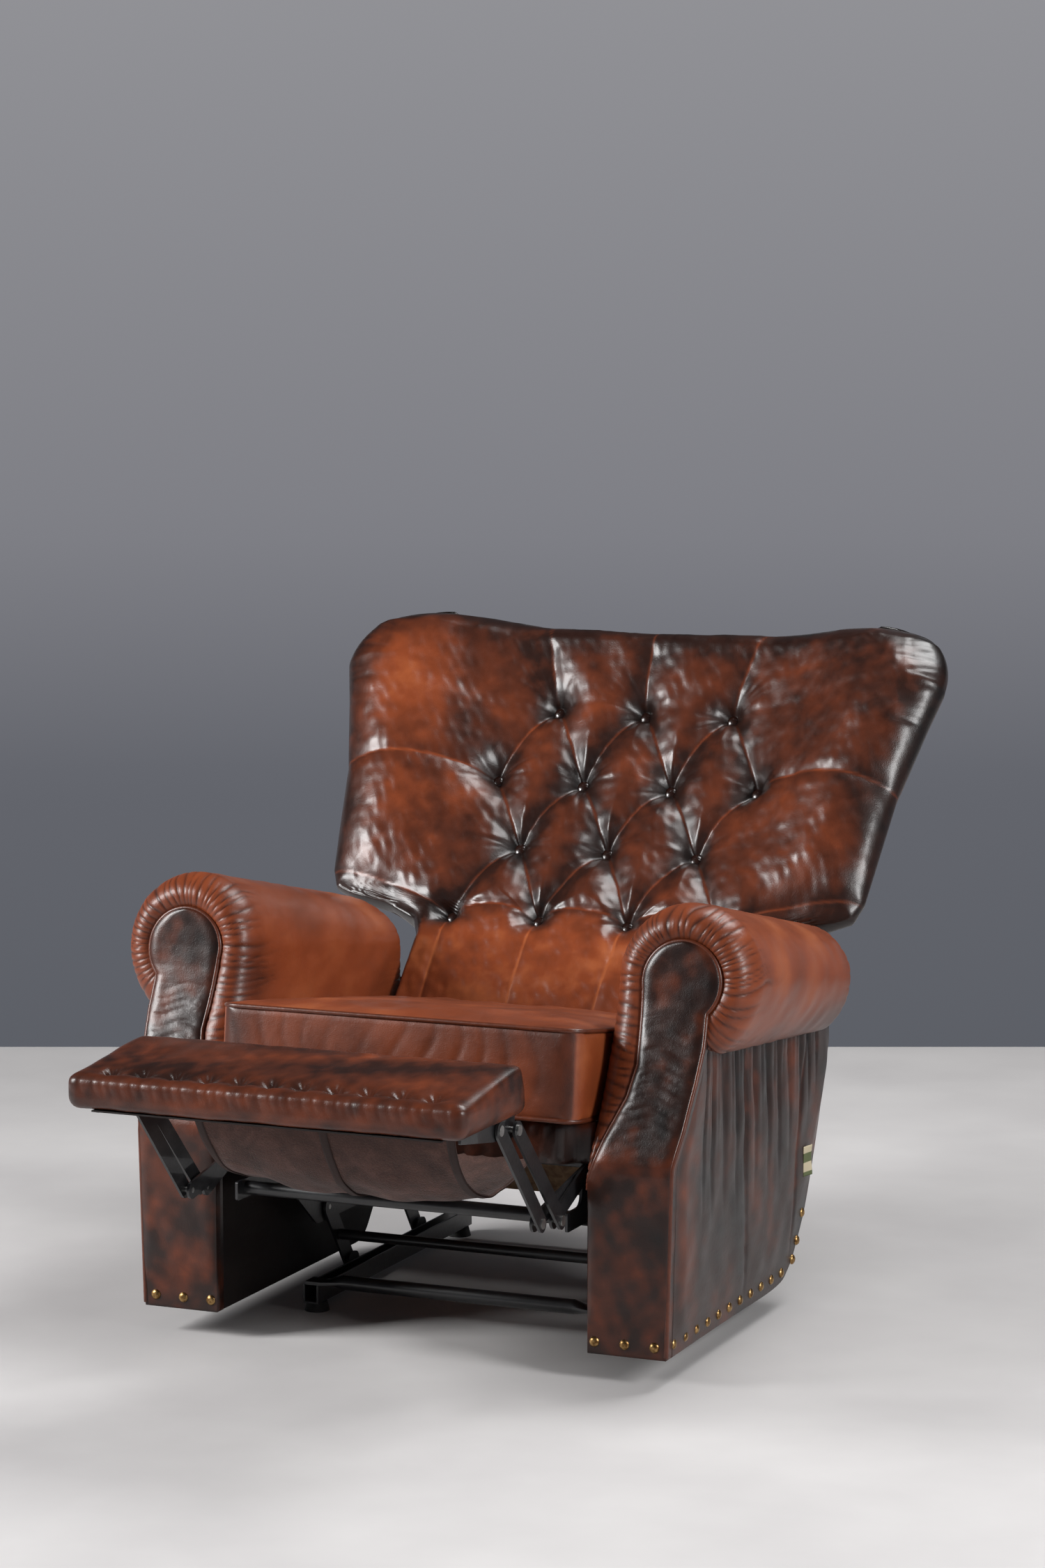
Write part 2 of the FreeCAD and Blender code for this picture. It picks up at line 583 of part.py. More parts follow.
def build_back():
    """Timber frame on two brackets, springs, pad, wings, outside panel and buttons."""
    lean = Rotation(Vector(1, 0, 0), -size("back_lean"))
    outer, width = size("back_stile_outer"), size("back_stile_width")
    foot, head = size("back_frame_foot"), size("back_frame_head")
    depth, out = size("back_frame_depth"), size("back_frame_out")
    frame = []
    for x, up, across, height in ((-outer, foot, width, head - foot),
                                  (outer - width, foot, width, head - foot),
                                  (width - outer, foot, 2 * (outer - width), width),
                                  (width - outer, head - width, 2 * (outer - width), width)):
        frame.append(slab(x, up, out, across, height, depth, lean))
    feature("back_frame", Part.makeCompound(frame))
    feature("back_outer_panel", slab(-outer, foot - 16, out - depth - 0.3, 2 * outer,
                                     head - foot + 30, size("outer_panel_thickness"), lean))

    clip = 3.0
    length = head - foot - 2 * width - 2 * clip
    springs = Part.makeCompound([sinuous_spring(column * 90.0, length) for column in range(-2, 3)])
    tilt = Rotation(Vector(1, 0, 0), 90 - size("back_lean"))
    springs.Placement = Placement(on_back(0, foot + width + clip, out - 6), tilt)
    feature("back_springs", springs)

    face = [(-20, -30), (150, -28), (300, -34), (560, -26), (head + 20, -4), (head + 62, 16)]
    profile = [*face, (head + 84, -8), (head + 95, -70), (head + 68, out + 4),
               (head + 30, out + 0.4), (-20, out + 0.4)]
    half = size("back_half_width")
    ring = [on_back(-half, up, forward) for up, forward in profile]
    pad = Part.Face(Part.makePolygon(ring + ring[:1])).extrude(Vector(2 * half, 0, 0))
    feature("back_pad", pad)
    for side, sign in SIDES.items():
        feature(f"wing_pad_{side}", wing(sign, half + 0.4, out + 0.4))

    buttons = []
    radius, rise = size("button_diameter") / 2, size("button_height")
    pitch = size("button_pitch")
    out_of_back = on_back(0, 0, 1) - on_back(0, 0, 0)
    for up, half_span in ((584, 1.0), (447, 1.5), (320, 1.0), (179, 1.5)):
        for column in range(int(2 * half_span) + 1):
            x = (column - half_span) * pitch
            seat = on_back(x, up, between(face, up) + 3)
            buttons.append(Part.makeCone(radius, radius * 0.6, rise, seat, out_of_back))
    feature("back_buttons", Part.makeCompound(buttons))

    pivot = point("recline")
    stile_low, stile_high = on_back(0, foot + 6, out - depth), on_back(0, foot + 150, out - depth)
    stile_front, top_front = on_back(0, foot + 6, out), on_back(0, foot + 150, out)
    outline = [(pivot[0] - 16, pivot[1] - 16, 14), (stile_low.y, stile_low.z, 6),
               (stile_high.y, stile_high.z, 6), (top_front.y, top_front.z, 6),
               (stile_front.y, stile_front.z, 6), (pivot[0] + 2, pivot[1] + 20, 10)]
    for side, sign in SIDES.items():
        plate(f"back_bracket_{side}", rounded_outline(outline), [(*pivot, "pin_diameter")],
              sign, "lower_plane")


def slab(x, up, out, across, height, depth, lean):
    """A board in the plane of the back: `out` is its front face."""
    board = Part.makeBox(across, depth, height)
    board.Placement = Placement(on_back(x, up, out), lean)
    return board


def wing(sign, inner, rear):
    """A padded wing that flares outward and forward towards the top.

    Each section lies in one plane: its height up the back, how much that height grows
    per millimetre out of the front, its outer edge and that edge's front and rear faces.
    """
    sections = ((218, 0.5, 445, -22, -90), (440, 0.0, 470, 22, -70), (612, 0.0, 512, 56, -30),
                (690, -0.1, 470, 52, -36), (716, -0.1, 420, 16, -60))
    face = -28
    rings = []
    for up, growth, edge, front, edge_rear in sections:
        ring = [on_back(sign * x, up + growth * (out - face), out)
                for x, out in ((inner, face), (edge, front), (edge, edge_rear), (inner, rear))]
        rings.append(Part.makePolygon(ring + ring[:1]))
    return Part.makeLoft(rings, True, True)


def check_and_export():
    """Stop on any failed object, then write every sub-part to its own file."""
    doc.recompute()
    for piece in doc.Objects:
        if any(state in ("Invalid", "Error") for state in piece.State):
            raise RuntimeError(f"{piece.Label} failed to recompute: {piece.State}")
    for piece in subparts:
        shape = piece.Shape
        if shape.isNull() or not shape.isValid() or shape.Volume <= 0:
            raise RuntimeError(f"{piece.Label} has no valid shape")
    os.makedirs("parts", exist_ok=True)
    for piece in subparts:
        piece.Shape.exportStep(os.path.join("parts", f"{piece.Label}.step"))
    print(len(subparts), "sub-parts written")


build_base()
build_rockers()
build_carriage()
build_footrest()
build_seat()
build_arms()
build_back()
check_and_export()
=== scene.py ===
"""Looks of the recliner armchair: leather, suede, piping, nails, steel and soft studio light.

Shapes are worked out in millimetres measured from the plane of the arm fronts, +Y to the
rear and +Z up, and `chair` turns them into the frame's metres.
"""
import bmesh
import bpy
import json
import math
import numpy as np
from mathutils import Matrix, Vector


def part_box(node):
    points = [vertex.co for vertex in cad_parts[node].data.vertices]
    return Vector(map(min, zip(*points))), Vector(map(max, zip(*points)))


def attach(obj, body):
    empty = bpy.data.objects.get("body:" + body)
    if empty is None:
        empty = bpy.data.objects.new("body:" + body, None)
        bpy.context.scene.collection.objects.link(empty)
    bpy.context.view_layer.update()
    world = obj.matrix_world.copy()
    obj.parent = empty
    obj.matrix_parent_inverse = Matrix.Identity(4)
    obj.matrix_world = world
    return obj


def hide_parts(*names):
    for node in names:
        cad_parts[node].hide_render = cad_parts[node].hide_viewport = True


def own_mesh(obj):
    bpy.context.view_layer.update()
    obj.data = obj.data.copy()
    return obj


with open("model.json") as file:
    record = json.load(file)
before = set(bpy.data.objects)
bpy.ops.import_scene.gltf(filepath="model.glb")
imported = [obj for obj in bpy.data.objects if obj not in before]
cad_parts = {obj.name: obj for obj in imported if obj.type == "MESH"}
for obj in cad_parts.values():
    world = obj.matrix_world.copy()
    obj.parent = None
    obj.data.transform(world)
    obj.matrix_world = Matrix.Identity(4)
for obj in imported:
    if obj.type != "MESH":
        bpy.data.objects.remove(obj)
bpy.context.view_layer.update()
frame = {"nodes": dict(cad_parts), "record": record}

MM = 0.001
ARM_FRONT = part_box("front_panel_left")[0].y
SIDES = {"left": -1, "right": 1}


# ---------------------------------------------------------------- shapes in numbers

def chair(points):
    """Millimetres from the arm fronts, as metres of the frame."""
    return np.asarray(points, float) * MM + (0.0, ARM_FRONT, 0.0)


def joined(*values):
    """Coordinates put side by side as points, each stretched to the same grid."""
    return np.stack(np.broadcast_arrays(*values), -1)


def local_box(node):
    """A CAD node's corners in millimetres from the arm fronts."""
    return [np.array([c.x, c.y - ARM_FRONT, c.z]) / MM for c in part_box(node)]


def smooth(value):
    """0 below 0, 1 above 1, and an even slope between."""
    value = np.clip(value, 0.0, 1.0)
    return value * value * (3 - 2 * value)


def profile(pairs, value):
    """A height read from (place, height) pairs, with straight lines between them."""
    places, heights = zip(*pairs)
    return np.interp(value, places, heights)


def bell(distance, width):
    """1 at no distance, and next to nothing two widths away."""
    return np.exp(-(distance / width) ** 2)


def waves(points, length, seed, count=14):
    """Smooth noise, about -1 to 1, whose bumps are about `length` across."""
    rng = np.random.default_rng(seed)
    direction = rng.normal(size=(count, 3))
    direction /= np.linalg.norm(direction, axis=1)[:, None]
    rate = math.tau / length * rng.uniform(0.6, 1.5, count)
    phase = rng.uniform(0, math.tau, count)
    total = np.sin(points @ (direction * rate[:, None]).T + phase).sum(-1)
    return total / math.sqrt(count)


def folds(place, spacing, seed):
    """Sharp creases between soft ridges, unevenly spaced: 0 on a ridge, 1 in a crease."""
    rng = np.random.default_rng(seed)
    drift = sum(rng.uniform(0.2, 0.5) * np.sin(place / spacing * rate + rng.uniform(0, math.tau))
                for rate in (0.61, 1.13, 1.9))
    return (1 - np.abs(np.sin(math.pi * place / spacing + drift))) ** 2.2


def spaced(low, high, step, edge, count=10):
    """Places from low to high: evenly spread, and crowded where a rounded edge starts."""
    turn = edge * (1 - np.cos(np.linspace(0, math.pi / 2, count + 1)))
    start, end = low + turn, high - turn[::-1]
    steps = max(int((end[0] - start[-1]) / step), 1) + 1
    return np.concatenate([start, np.linspace(start[-1], end[0], steps)[1:-1], end])


def smooth_line(points, step):
    """Points along a smooth curve through a few given ones."""
    points = np.asarray(points, float)
    ends = np.vstack([2 * points[0] - points[1], points, 2 * points[-1] - points[-2]])
    line = []
    for a, b, c, d in zip(ends, ends[1:], ends[2:], ends[3:]):
        count = max(int(np.linalg.norm(c - b) / step), 1)
        for share in np.arange(count) / count:
            square, cube = share ** 2, share ** 3
            line.append(0.5 * (2 * b + (c - a) * share + (2 * a - 5 * b + 4 * c - d) * square
                               + (3 * b - a - 3 * c + d) * cube))
    return np.array(line + [points[-1]])


def travelled(line):
    """How far along a line each of its points is."""
    steps = np.linalg.norm(np.diff(line, axis=0), axis=1)
    return np.concatenate([[0], np.cumsum(steps)])


# ---------------------------------------------------------------- meshes

def sheet_faces(rows, columns, start=0):
    """The four-sided faces of a grid of points."""
    index = start + np.arange(rows * columns).reshape(rows, columns)
    corners = (index[:-1, :-1], index[:-1, 1:], index[1:, 1:], index[1:, :-1])
    return np.stack(corners, -1).reshape(-1, 4)


def add_object(name, data):
    thing = bpy.data.objects.new(name, data)
    bpy.context.scene.collection.objects.link(thing)
    return thing


def build(name, points, faces, tone=None):
    """A smooth mesh object from points in millimetres; tone is how bright its leather is, painted shade
    and highlights included.
    """
    mesh = bpy.data.meshes.new(name)
    mesh.from_pydata(chair(points).reshape(-1, 3).tolist(), [], np.asarray(faces).tolist())
    work = bmesh.new()
    work.from_mesh(mesh)
    bmesh.ops.recalc_face_normals(work, faces=work.faces)
    work.to_mesh(mesh)
    work.free()
    mesh.shade_smooth()
    if tone is not None:
        set_tone(mesh, tone)
    return add_object(name, mesh)


def set_tone(mesh, tone):
    """Store how bright the leather is at each point, painted shade and highlights included, for its
    material to read.
    """
    attribute = mesh.attributes.new("tone", "FLOAT", "POINT")
    attribute.data.foreach_set("value", np.clip(tone, 0, 1).astype(np.float32).ravel())


def shell(name, grid, tone=None, thickness=2.0):
    """An open sheet of leather or cloth, with half its thickness on each side of the grid."""
    rows, columns = grid.shape[:2]
    piece = build(name, grid, sheet_faces(rows, columns), tone)
    solid = piece.modifiers.new("thickness", "SOLIDIFY")
    solid.thickness = thickness * MM
    solid.offset = 0
    return piece


def dress(piece, body, material, nodes=()):
    """Give a piece its finish and the body it moves with, and hide the CAD nodes it stands for."""
    piece.data.materials.append(material)
    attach(piece, body)
    if nodes:
        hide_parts(*nodes)
    return piece


def tube(name, path, radius, body, material, closed=False):
    """Piping: a round cord sewn along a seam."""
    curve = bpy.data.curves.new(name, "CURVE")
    curve.dimensions = "3D"
    curve.bevel_depth = radius * MM
    curve.bevel_resolution = 3
    spline = curve.splines.new("POLY")
    spline.points.add(len(path) - 1)
    spline.use_cyclic_u = closed
    for target, place in zip(spline.points, chair(path)):
        target.co = (*place, 1.0)
    dress(add_object(name, curve), body, material)


def rounded_block(half, radius, step):
    """Points and faces of a block with rounded edges, centred on 0."""
    sides = []
    for axis in range(3):
        others = [k for k in range(3) if k != axis]
        marks = [spaced(-half[k], half[k], step, radius, 5) for k in others]
        first, second = np.meshgrid(*marks, indexing="ij")
        for sign in (-1, 1):
            side = np.empty(first.shape + (3,))
            side[..., axis] = sign * half[axis]
            side[..., others[0]], side[..., others[1]] = first, second
            sides.append(side)
    points = np.concatenate([side.reshape(-1, 3) for side in sides])
    faces, start = [], 0
    for side in sides:
        faces.append(sheet_faces(*side.shape[:2], start))
        start += side.shape[0] * side.shape[1]
    unique, first, inverse = np.unique(np.round(points, 3), axis=0, return_index=True,
                                       return_inverse=True)
    points, faces = points[first], inverse.ravel()[np.concatenate(faces)]
    core = np.clip(points, -(half - radius), half - radius)
    out = points - core
    out /= np.maximum(np.linalg.norm(out, axis=1), 1e-9)[:, None]
    return core + out * radius, out, faces


# ---------------------------------------------------------------- materials

def new_material(name):
    material = bpy.data.materials.new(name)
    material.use_nodes = True
    tree = material.node_tree
    return material, tree, tree.nodes["Principled BSDF"]


def put(node, **values):
    """Set a node's inputs: an underscore stands for the space in an input's name."""
    for name, value in values.items():
        node.inputs[name.replace("_", " ")].default_value = value


def surface_place(tree):
    return tree.nodes.new("ShaderNodeTexCoord").outputs["Object"]


def noise(tree, scale, detail=4.0, stretch=(1, 1, 1), distortion=0.0):
    mapping = tree.nodes.new("ShaderNodeMapping")
    texture = tree.nodes.new("ShaderNodeTexNoise")
    put(mapping, Scale=stretch)
    put(texture, Scale=scale, Detail=detail, Distortion=distortion)
    tree.links.new(surface_place(tree), mapping.inputs["Vector"])
    tree.links.new(mapping.outputs["Vector"], texture.inputs["Vector"])
    return texture.outputs["Fac"]


def maths(tree, operation, *values):
    node = tree.nodes.new("ShaderNodeMath")
    node.operation = operation
    for socket, value in zip(node.inputs, values):
        if isinstance(value, (int, float)):
            socket.default_value = value
        else:
            tree.links.new(value, socket)
    return node.outputs[0]


def ramp(tree, value, stops):
    """A colour for each level of a value, from (level, colour) stops."""
    node = tree.nodes.new("ShaderNodeValToRGB")
    elements = node.color_ramp.elements
    while len(elements) < len(stops):
        elements.new(0.5)
    for element, (place, colour) in zip(elements, stops):
        element.position = place
        element.color = (*colour, 1)
    tree.links.new(value, node.inputs["Fac"])
    return node.outputs["Color"]


def bump(tree, shader, height, distance, strength=1.0, before=None):
    node = tree.nodes.new("ShaderNodeBump")
    put(node, Strength=strength, Distance=distance)
    tree.links.new(height, node.inputs["Height"])
    if before is not None:
        tree.links.new(before, node.inputs["Normal"])
    tree.links.new(node.outputs["Normal"], shader.inputs["Normal"])
    return node.outputs["Normal"]


SOOT = (0.0045, 0.0020, 0.0015)
UMBER = (0.020, 0.0062, 0.0036)
RUST = (0.080, 0.0180, 0.0066)
TAN = (0.190, 0.0400, 0.0115)
AMBER = (0.310, 0.0840, 0.0270)


def leather(name, lift, mottle, scale, roughness, coat):
    """Antique leather: dark stain rubbed back to rust and tan, with a fine pebbled grain; the per-point
    tone it reads also holds painted shade and highlights.
    """
    material, tree, shader = new_material(name)
    tone = tree.nodes.new("ShaderNodeAttribute")
    tone.attribute_name = "tone"
    cloud = noise(tree, scale, 6.0, (1, 1, 0.7), 0.8)
    streak = noise(tree, scale * 3.4, 5.0, (1, 0.45, 1.2), 0.4)
    rubbed = maths(tree, "MULTIPLY_ADD", cloud, mottle * 1.5, -0.75 * mottle + lift)
    fine = maths(tree, "MULTIPLY_ADD", streak, mottle * 0.8, -0.4 * mottle)
    level = maths(tree, "ADD", maths(tree, "ADD", tone.outputs["Fac"], rubbed), fine)
    colour = ramp(tree, level, [(0.0, SOOT), (0.25, UMBER), (0.5, RUST), (0.78, TAN), (1.0, AMBER)])
    tree.links.new(colour, shader.inputs["Base Color"])
    wear = maths(tree, "MULTIPLY_ADD", streak, 0.16, roughness - 0.08)
    tree.links.new(wear, shader.inputs["Roughness"])
    put(shader, Coat_Weight=coat, Coat_Roughness=0.20, Specular_IOR_Level=0.34)
    cells = tree.nodes.new("ShaderNodeTexVoronoi")
    put(cells, Scale=620.0)
    tree.links.new(surface_place(tree), cells.inputs["Vector"])
    pebbles = bump(tree, shader, cells.outputs["Distance"], 0.00022, 0.5)
    wrinkle = noise(tree, 95.0, 5.0, (1, 0.6, 1), 0.8)
    bump(tree, shader, wrinkle, 0.0007, 0.4, pebbles)
    return material


def suede(name):
    """The flesh side of the hide: dull, short-haired and uneven."""
    material, tree, shader = new_material(name)
    patch = noise(tree, 26.0, 6.0, (1, 1, 1), 0.5)
    hair = noise(tree, 420.0, 3.0, (1, 0.5, 1))
    level = maths(tree, "ADD", maths(tree, "MULTIPLY", patch, 0.7), maths(tree, "MULTIPLY", hair, 0.35))
    colour = ramp(tree, level, [(0.35, (0.032, 0.016, 0.012)), (0.55, (0.070, 0.033, 0.025)),
                                (0.75, (0.125, 0.062, 0.048))])
    tree.links.new(colour, shader.inputs["Base Color"])
    put(shader, Roughness=0.95, Sheen_Weight=0.12, Sheen_Roughness=0.4)
    first = bump(tree, shader, hair, 0.0014, 1.0)
    bump(tree, shader, patch, 0.003, 0.4, first)
    return material


def metal(name, low, high, roughness, metallic=1.0, scale=60.0, coat=0.0):
    """Painted or plated metal with handling marks and uneven gloss."""
    material, tree, shader = new_material(name)
    marks = noise(tree, scale, 5.0)
    tree.links.new(ramp(tree, marks, [(0.35, low), (0.65, high)]), shader.inputs["Base Color"])
    put(shader, Metallic=metallic, Coat_Weight=coat)
    scuffed = maths(tree, "MULTIPLY_ADD", noise(tree, scale * 5, 3.0), 0.25, roughness - 0.12)
    tree.links.new(scuffed, shader.inputs["Roughness"])
    bump(tree, shader, noise(tree, scale * 12, 2.0), 0.0002, 0.35)
    return material


def timber(name):
    """Planed beech with long grain."""
    material, tree, shader = new_material(name)
    grain = noise(tree, 24.0, 6.0, (4, 0.25, 4), 1.2)
    colour = ramp(tree, grain, [(0.3, (0.23, 0.12, 0.055)), (0.7, (0.46, 0.29, 0.15))])
    tree.links.new(colour, shader.inputs["Base Color"])
    put(shader, Roughness=0.6)
    bump(tree, shader, grain, 0.0004, 0.5)
    return material


def wave(tree, direction, scale):
    texture = tree.nodes.new("ShaderNodeTexWave")
    texture.bands_direction = direction
    put(texture, Scale=scale)
    tree.links.new(surface_place(tree), texture.inputs["Vector"])
    return texture.outputs["Fac"]


def woven(name):
    """A plain woven tape: cream and olive bands, with the threads showing."""
    material, tree, shader = new_material(name)
    threads = [wave(tree, direction, 320.0) for direction in ("Y", "Z")]
    colour = ramp(tree, wave(tree, "Z", 11.0), [(0.45, (0.52, 0.45, 0.31)), (0.55, (0.10, 0.12, 0.05))])
    tree.links.new(colour, shader.inputs["Base Color"])
    put(shader, Roughness=0.9)
    bump(tree, shader, maths(tree, "MULTIPLY", *threads), 0.0004, 0.8)
    return material


# Each leather's lift, mottle, mottle scale, roughness and coat.
LEATHERS = {
    "back": (-0.06, 0.30, 13.0, 0.35, 0.22),
    "seat": (0.0, 0.30, 9.0, 0.42, 0.16),
    "arm": (-0.03, 0.24, 8.0, 0.42, 0.10),
    "dark": (-0.05, 0.34, 13.0, 0.36, 0.12),
    "piping": (0.50, 0.22, 30.0, 0.40, 0.2),
    "dark_piping": (0.38, 0.30, 30.0, 0.32, 0.4),
    # Near-black lining: partly the cloth's own dark colour, partly painted shade on the arms' inner
    # panels under the seat.
    "lining": (0.03, 0.08, 14.0, 0.6, 0.0),
    "button": (0.20, 0.20, 40.0, 0.26, 0.6),
}
# Each metal's name, darkest and palest colour, roughness, metallic, scale of its marks and coat.
METALS = {
    "black_steel": ("black_enamel", (0.006, 0.006, 0.007), (0.013, 0.013, 0.014), 0.36, 0.0, 40.0, 0.3),
    "zinc_pins": ("zinc_plate", (0.42, 0.42, 0.41), (0.66, 0.66, 0.64), 0.34),
    "spring_steel": ("oiled_wire", (0.10, 0.09, 0.08), (0.24, 0.22, 0.20), 0.42),
    "nail_brass": ("antique_brass", (0.13, 0.065, 0.022), (0.46, 0.29, 0.12), 0.34, 1.0, 170.0),
    "rubber": ("black_rubber", (0.010, 0.010, 0.010), (0.022, 0.021, 0.020), 0.8, 0.0, 90.0),
}


def make_materials():
    made = {key: leather("leather_" + key, *values) for key, values in LEATHERS.items()}
    made["suede"] = suede("suede_flesh_side")
    made.update((key, metal(*values)) for key, values in METALS.items())
    made["timber"] = timber("planed_timber")
    made["label"] = woven("woven_tape")
    return made


# ---------------------------------------------------------------- the buttoned back

LEAN = math.radians(42)
BACK_FOOT_Y, BACK_FOOT_Z = 551.0, 415.0
BACK_TOP, BACK_BOTTOM = 735.0, -20.0
BACK_EDGE = 44.0
CORNER_UP, CORNER_WIDTH = 610.0, 150.0
BUTTON_PITCH, BUTTON_RADIUS = 150.0, 12.0
BUTTON_ROWS = ((584, 1.0), (447, 1.5), (320, 1.0), (179, 1.5))
BACK_WIDTH = ((-20, 270), (130, 271), (164, 286), (188, 336), (202, 402), (217, 438), (246, 450),
              (420, 468), (540, 496), (600, 513), (800, 515))


def on_back(x, up, out):
    """A point of the laid-down back: across, up its slope, and out of its front."""
    return joined(x, BACK_FOOT_Y + math.sin(LEAN) * up - math.cos(LEAN) * out,
                  BACK_FOOT_Z + math.cos(LEAN) * up + math.sin(LEAN) * out)


def button_rows():
    return [[((column - span) * BUTTON_PITCH, up) for column in range(int(2 * span) + 1)]
            for up, span in BUTTON_ROWS]


def half_width(up):
    """Half the back's width at a height, with rounded upper corners."""
    share = np.clip((up - CORNER_UP) / (BACK_TOP - CORNER_UP), 0, 1)
    return profile(BACK_WIDTH, up) - CORNER_WIDTH * (1 - np.sqrt(1 - share ** 2))


def bowed(start, end, bow):
    """A pleat between two places of the back: its middle stands `bow` higher."""
    start, end = np.array(start, float), np.array(end, float)
    share = np.linspace(0, 1, 9)[:, None]
    line = start + (end - start) * share
    line[:, 1] += bow * 4 * share[:, 0] * (1 - share[:, 0])
    return line


def pleats():
    """(line, depth, softness) of every fold and sewn seam of the back's front."""
    rows = button_rows()
    found = []
    for upper, lower in zip(rows, rows[1:]):
        for a in upper:
            found += [(bowed(a, b, 9), 20.0, 58.0) for b in lower
                      if abs(a[0] - b[0]) < BUTTON_PITCH * 0.6]
    found += [(bowed(spot, (spot[0] * 1.27, BACK_TOP), 0), 14.0, 50.0) for spot in rows[0]]
    found += [(bowed(a, b, 13), 11.0, 34.0) for a, b in zip(rows[3], rows[3][1:])]
    found += [(bowed(spot, (spot[0] * 0.96, BACK_BOTTOM), 0), 3.5, 16.0) for spot in rows[3]]
    for sign in SIDES.values():
        for row, edge_up, bow in ((1, 425, 8), (3, 240, 9)):
            spot = rows[row][-1 if sign > 0 else 0]
            found.append((bowed(spot, (sign * half_width(edge_up), edge_up), bow), 5.0, 26.0))
    return found


def distance_to(line, x, up):
    """How far each place is from a line, and which share of the line is nearest."""
    best = np.full(x.shape, 1e9)
    along = np.zeros(x.shape)
    for index, (a, b) in enumerate(zip(line, line[1:])):
        span = b - a
        share = np.clip(((x - a[0]) * span[0] + (up - a[1]) * span[1]) / (span @ span), 0, 1)
        away = np.hypot(x - a[0] - share * span[0], up - a[1] - share * span[1])
        nearer = away < best
        best = np.where(nearer, away, best)
        along = np.where(nearer, (index + share) / (len(line) - 1), along)
    return best, along


def pull_lines():
    """Creases that run out from the buttons, and short ones that cross the wings' rims."""
    rng = np.random.default_rng(5)
    lines = []
    for row in button_rows():
        for x, up in row:
            for number in range(15):
                sideways = rng.choice((0.0, math.pi)) + rng.normal(0, 0.38)
                angle = sideways if number < 10 else rng.uniform(0, math.tau)
                lines.append((x, up, angle, rng.uniform(34, 92), rng.uniform(0.6, 1.7),
                              rng.uniform(2.8, 5.2)))
            if up > 550:
                for number in range(4):
                    angle = math.radians(125 + 11 * number + rng.normal(0, 3))
                    lines.append((x, up, angle if x < 80 else math.pi - angle,
                                  rng.uniform(80, 125), 2.2, 5.5))
    for sign in SIDES.values():
        for up in np.arange(540, 715, 11.0):
            angle = (math.pi if sign > 0 else 0) + sign * rng.uniform(0.0, 0.5)
            lines.append((sign * (half_width(up) + 4), up, angle, rng.uniform(45, 105),
                          rng.uniform(1.0, 2.6), rng.uniform(3, 5)))
    return lines


def outline(x, up):
    """The places round the four sides of a grid."""
    places = joined(x, up)
    return np.concatenate([places[:, 0], places[:, -1], places[0], places[-1]])


def rim_distance(x, up, edge):
    """How far each grid point is from an outline, row by row."""
    return np.stack([np.sqrt(((row_x[:, None] - edge[:, 0]) ** 2
                              + (row_up[:, None] - edge[:, 1]) ** 2).min(1))
                     for row_x, row_up in zip(x, up)])


def back_grid(step):
    """Places of the back's outline plane, denser near its rounded rim."""
    columns = spaced(-1.0, 1.0, step / 515.0, BACK_EDGE / 515.0)
    levels = spaced(BACK_BOTTOM, BACK_TOP, step, BACK_EDGE)
    x = half_width(levels)[:, None] * columns[None, :]
    crest = 14 * smooth(np.abs(x) / 380) * smooth((levels[:, None] - 500) / 235)
    return x, levels[:, None] + crest


def back_levels(x, up):
    """Front, rim and rear levels of the unbuttoned back."""
    across = np.abs(x)
    middle = profile(((-20, 0), (60, -1), (140, -4), (200, 2), (320, -10), (447, -9), (584, 2),
                      (660, 17), (700, 25), (735, 20)), up)
    wing = profile(((-20, 0), (150, -6), (218, -2), (300, 24), (440, 54), (560, 76), (612, 82),
                    (690, 74), (735, 46)), up)
    front = middle + (wing - middle) * smooth((across - 190) / (half_width(up) - 265).clip(60))
    edge_rear = profile(((-20, -100), (218, -64), (440, -38), (612, -4), (690, -8), (735, -40)), up)
    outward = smooth((across - 268) / np.maximum(half_width(up) - 330, 60))
    rear = -123.5 + (edge_rear + 123.5) * outward
    rear = rear + (-80 - rear) * smooth((up - 670) / 65) * (1 - outward)
    rim = 0.5 * (profile(((-20, -10), (218, 4), (440, 52), (612, 80), (690, 74), (735, 30)), up)
                 + edge_rear)
    rim = rim + (-34 - rim) * smooth((up - 660) / 70) * (1 - smooth((across - 240) / 160))
    return front, rim, rear


# Amount, place across, width, place up and height of the patches rubbed pale.
RUBBED = ((0.40, -390, 75, 570, 85), (0.12, -360, 85, 380, 80), (0.16, 330, 70, 470, 130))


